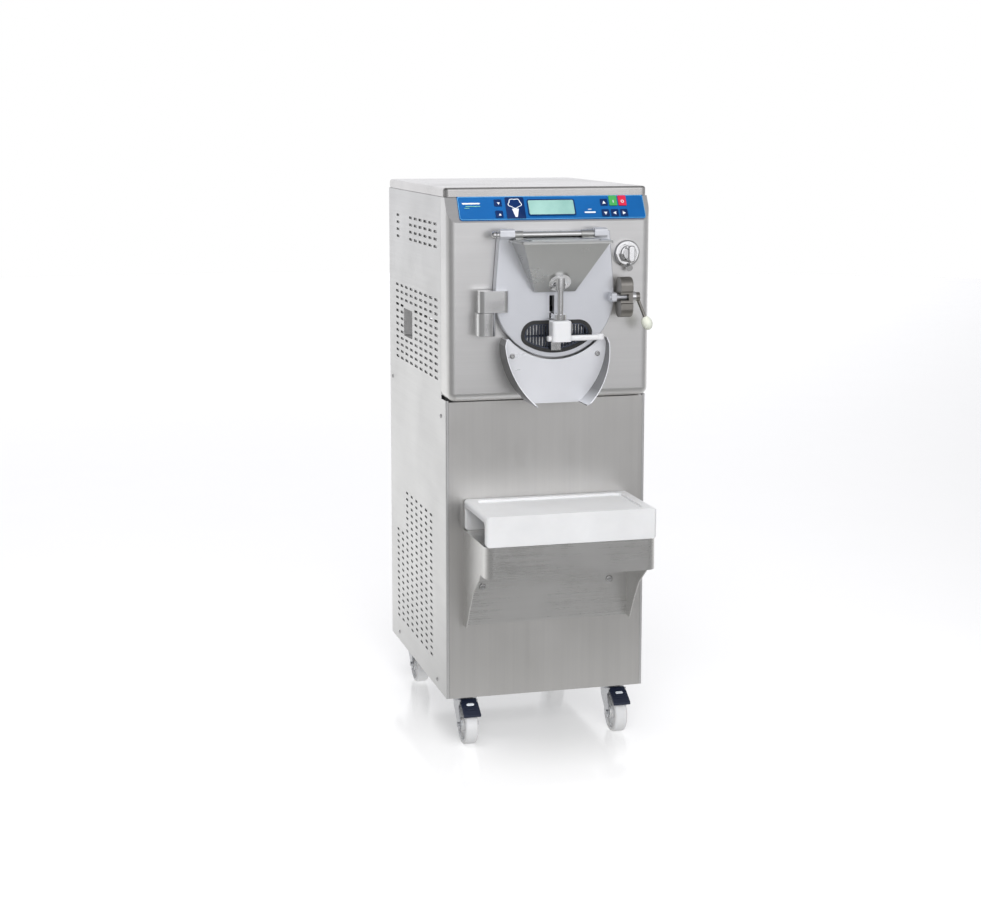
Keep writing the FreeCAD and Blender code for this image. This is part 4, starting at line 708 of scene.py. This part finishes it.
def vent_screen(side, low_y, high_y, low_z, high_z, name):
    """Fine pleated dust screen just behind a field of vent slots."""
    x = side * (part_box("right_side_panel")[1].x - SCREEN_DEPTH)
    depth, pitch = PLEAT
    rows = int((high_z - low_z) / pitch)
    bm = bmesh.new()
    profile = []
    for row in range(rows + 1):
        profile.append((x - side * (depth if row % 2 else 0), low_z + row * pitch))
    back = [(px - side * CLOTH, pz) for px, pz in reversed(profile)]
    near = [bm.verts.new((px, low_y, pz)) for px, pz in profile + back]
    far = [bm.verts.new((px, high_y, pz)) for px, pz in profile + back]
    count = len(near)
    for i in range(count):
        j = (i + 1) % count
        bm.faces.new((near[i], near[j], far[j], far[i]))
    for i in range(rows):
        for line in (near, far):
            bm.faces.new((line[i], line[i + 1], line[count - 2 - i], line[count - 1 - i]))
    add_piece(name, bm, "screen_mesh", "cabinet", 20.0)


def vent_screens():
    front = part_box("left_side_panel")[0].y
    for side, word in ((-1, "left"), (1, "right")):
        for field, y0, y1, z0, z1 in VENT_FIELDS:
            name = word + "_" + field + "_vent_screen"
            vent_screen(side, front + y0 * MM, front + y1 * MM, z0 * MM, z1 * MM, name)


# ---- studio --------------------------------------------------------------------------------
# what the steel mirrors, from one side to the other: x left to right, y front to back, z down to up
SKY_SIDES = [(0.0, 0.26), (0.22, 0.36), (0.36, 1.0), (0.66, 1.0), (0.86, 0.50), (1.0, 0.45)]
SKY_DEPTH = [(0.0, 1.25), (0.22, 1.25), (0.5, 0.75), (0.8, 1.05), (1.0, 1.05)]
SKY_HEIGHT = [(0.0, 1.0), (0.66, 1.0), (0.86, 0.36), (1.0, 0.36)]
SKY_BLUE = 1.01          # faint cool cast


def add_area(name, location, target, size, power):
    """Soft rectangular light that the steel doesn't mirror."""
    lamp = bpy.data.lights.new(name, "AREA")
    lamp.shape = "RECTANGLE"
    lamp.size, lamp.size_y = size
    lamp.energy = power
    light = bpy.data.objects.new(name, lamp)
    light.location = location
    light.rotation_euler = (Vector(target) - Vector(location)).to_track_quat("-Z", "Y").to_euler()
    light.visible_glossy = False
    bpy.context.scene.collection.objects.link(light)


def sky_ramp(tree, value, stops):
    """Brightness of the surroundings along one direction."""
    node = tree.nodes.new("ShaderNodeValToRGB")
    band = node.color_ramp
    band.interpolation = "EASE"
    while len(band.elements) < len(stops):
        band.elements.new(0.5)
    for element, (position, level) in zip(band.elements, stops):
        element.position = position
        element.color = (level, level, level * SKY_BLUE, 1)
    tree.links.new(value, node.inputs["Fac"])
    return node.outputs["Color"]


def half_range(tree, value):
    """Turns a direction's -1 to 1 into 0 to 1."""
    node = tree.nodes.new("ShaderNodeMapRange")
    node.inputs["From Min"].default_value = -1.0
    tree.links.new(value, node.inputs["Value"])
    return node.outputs["Result"]


def product(tree, first, second):
    """One colour times another."""
    node = tree.nodes.new("ShaderNodeMix")
    node.data_type = "RGBA"
    node.blend_type = "MULTIPLY"
    node.inputs["Factor"].default_value = 1.0
    tree.links.new(first, node.inputs[MIX_A])
    tree.links.new(second, node.inputs[MIX_B])
    return node.outputs[MIX_RESULT]


def studio_world():
    """White backdrop; what the steel mirrors is white behind, grey in front and dark at the sides."""
    world = bpy.data.worlds.new("studio")
    bpy.context.scene.world = world
    world.use_nodes = True
    tree = world.node_tree
    direction = tree.nodes.new("ShaderNodeTexCoord").outputs["Generated"]
    split = tree.nodes.new("ShaderNodeSeparateXYZ")
    tree.links.new(direction, split.inputs["Vector"])
    sides = sky_ramp(tree, half_range(tree, split.outputs["X"]), SKY_SIDES)
    depth = sky_ramp(tree, half_range(tree, split.outputs["Y"]), SKY_DEPTH)
    height = sky_ramp(tree, half_range(tree, split.outputs["Z"]), SKY_HEIGHT)
    level = product(tree, product(tree, sides, depth), height)
    mirrored = tree.nodes["Background"]
    tree.links.new(level, mirrored.inputs["Color"])
    seen = tree.nodes.new("ShaderNodeBackground")
    seen.inputs["Color"].default_value = (1, 1, 1, 1)
    choice = tree.nodes.new("ShaderNodeMixShader")
    tree.links.new(tree.nodes.new("ShaderNodeLightPath").outputs["Is Camera Ray"], choice.inputs["Fac"])
    tree.links.new(mirrored.outputs["Background"], choice.inputs[1])
    tree.links.new(seen.outputs["Background"], choice.inputs[2])
    tree.links.new(choice.outputs["Shader"], tree.nodes["World Output"].inputs["Surface"])


def floor_material():
    """White glossy floor; the steel mirrors it darker in front of the machine."""
    m = Shader("studio_floor", Emission_Strength=0.34, Emission_Color=(1, 1, 1, 1))
    cloud = m.noise(1.2, 3.0, 0.5)
    m.colour(m.ramp(cloud, [(0.3, 0.86), (0.7, 0.88)]))
    m.roughness(m.spread(cloud, 0.10, 0.14))
    split = m.tree.nodes.new("ShaderNodeSeparateXYZ")
    m.link(m.coords, split, "Vector")
    shade = m.ramp(m.spread(split.outputs["Y"], 0.0, 1.0, -1.5, 1.5), [(0.0, 0.27), (1.0, 1.0)])
    glow = m.tree.nodes.new("ShaderNodeEmission")
    m.link(shade, glow, "Color")
    choice = m.tree.nodes.new("ShaderNodeMixShader")
    m.link(m.tree.nodes.new("ShaderNodeLightPath").outputs["Is Camera Ray"], choice, "Fac")
    m.link(glow.outputs["Emission"], choice, 1)
    m.link(m.surface.outputs["BSDF"], choice, 2)
    m.link(choice.outputs["Shader"], m.tree.nodes["Material Output"], "Surface")
    return m.material


def studio():
    """Round floor, surroundings and two soft lights."""
    bm = bmesh.new()
    bmesh.ops.create_circle(bm, cap_ends=True, segments=96, radius=14.0)
    mesh = bpy.data.meshes.new("studio_floor")
    bm.to_mesh(mesh)
    bm.free()
    floor = bpy.data.objects.new("studio_floor", mesh)
    floor.data.materials.append(floor_material())
    bpy.context.scene.collection.objects.link(floor)
    studio_world()
    add_area("top_soft", (-0.7, -1.1, 3.8), (0, 0, 0.8), (2.0, 2.0), 52)
    add_area("front_fill", (-0.6, -3.6, 1.9), (0, 0, 0.7), (2.4, 1.6), 60)


def camera():
    """Long lens from a little to the left and above, looking slightly down."""
    lens = bpy.data.cameras.new("camera")
    lens.sensor_width = 36.0
    lens.lens = 69.3
    lens.shift_y = -0.0607
    view = bpy.data.objects.new("camera", lens)
    view.location = (-1.3041, -4.620, 1.5605)
    view.rotation_euler = (math.radians(90 - 8.62), 0, math.radians(-14.81))
    bpy.context.scene.collection.objects.link(view)
    bpy.context.scene.camera = view
    bpy.context.scene.view_settings.view_transform = "Standard"


finish_cad_nodes()
fascia = Fascia()
control_graphics(fascia)
key_symbols(fascia)
display_bezel(fascia)
for corner in ("front_left", "front_right"):
    pedal_ribs(corner)
vent_screens()
studio()
camera()
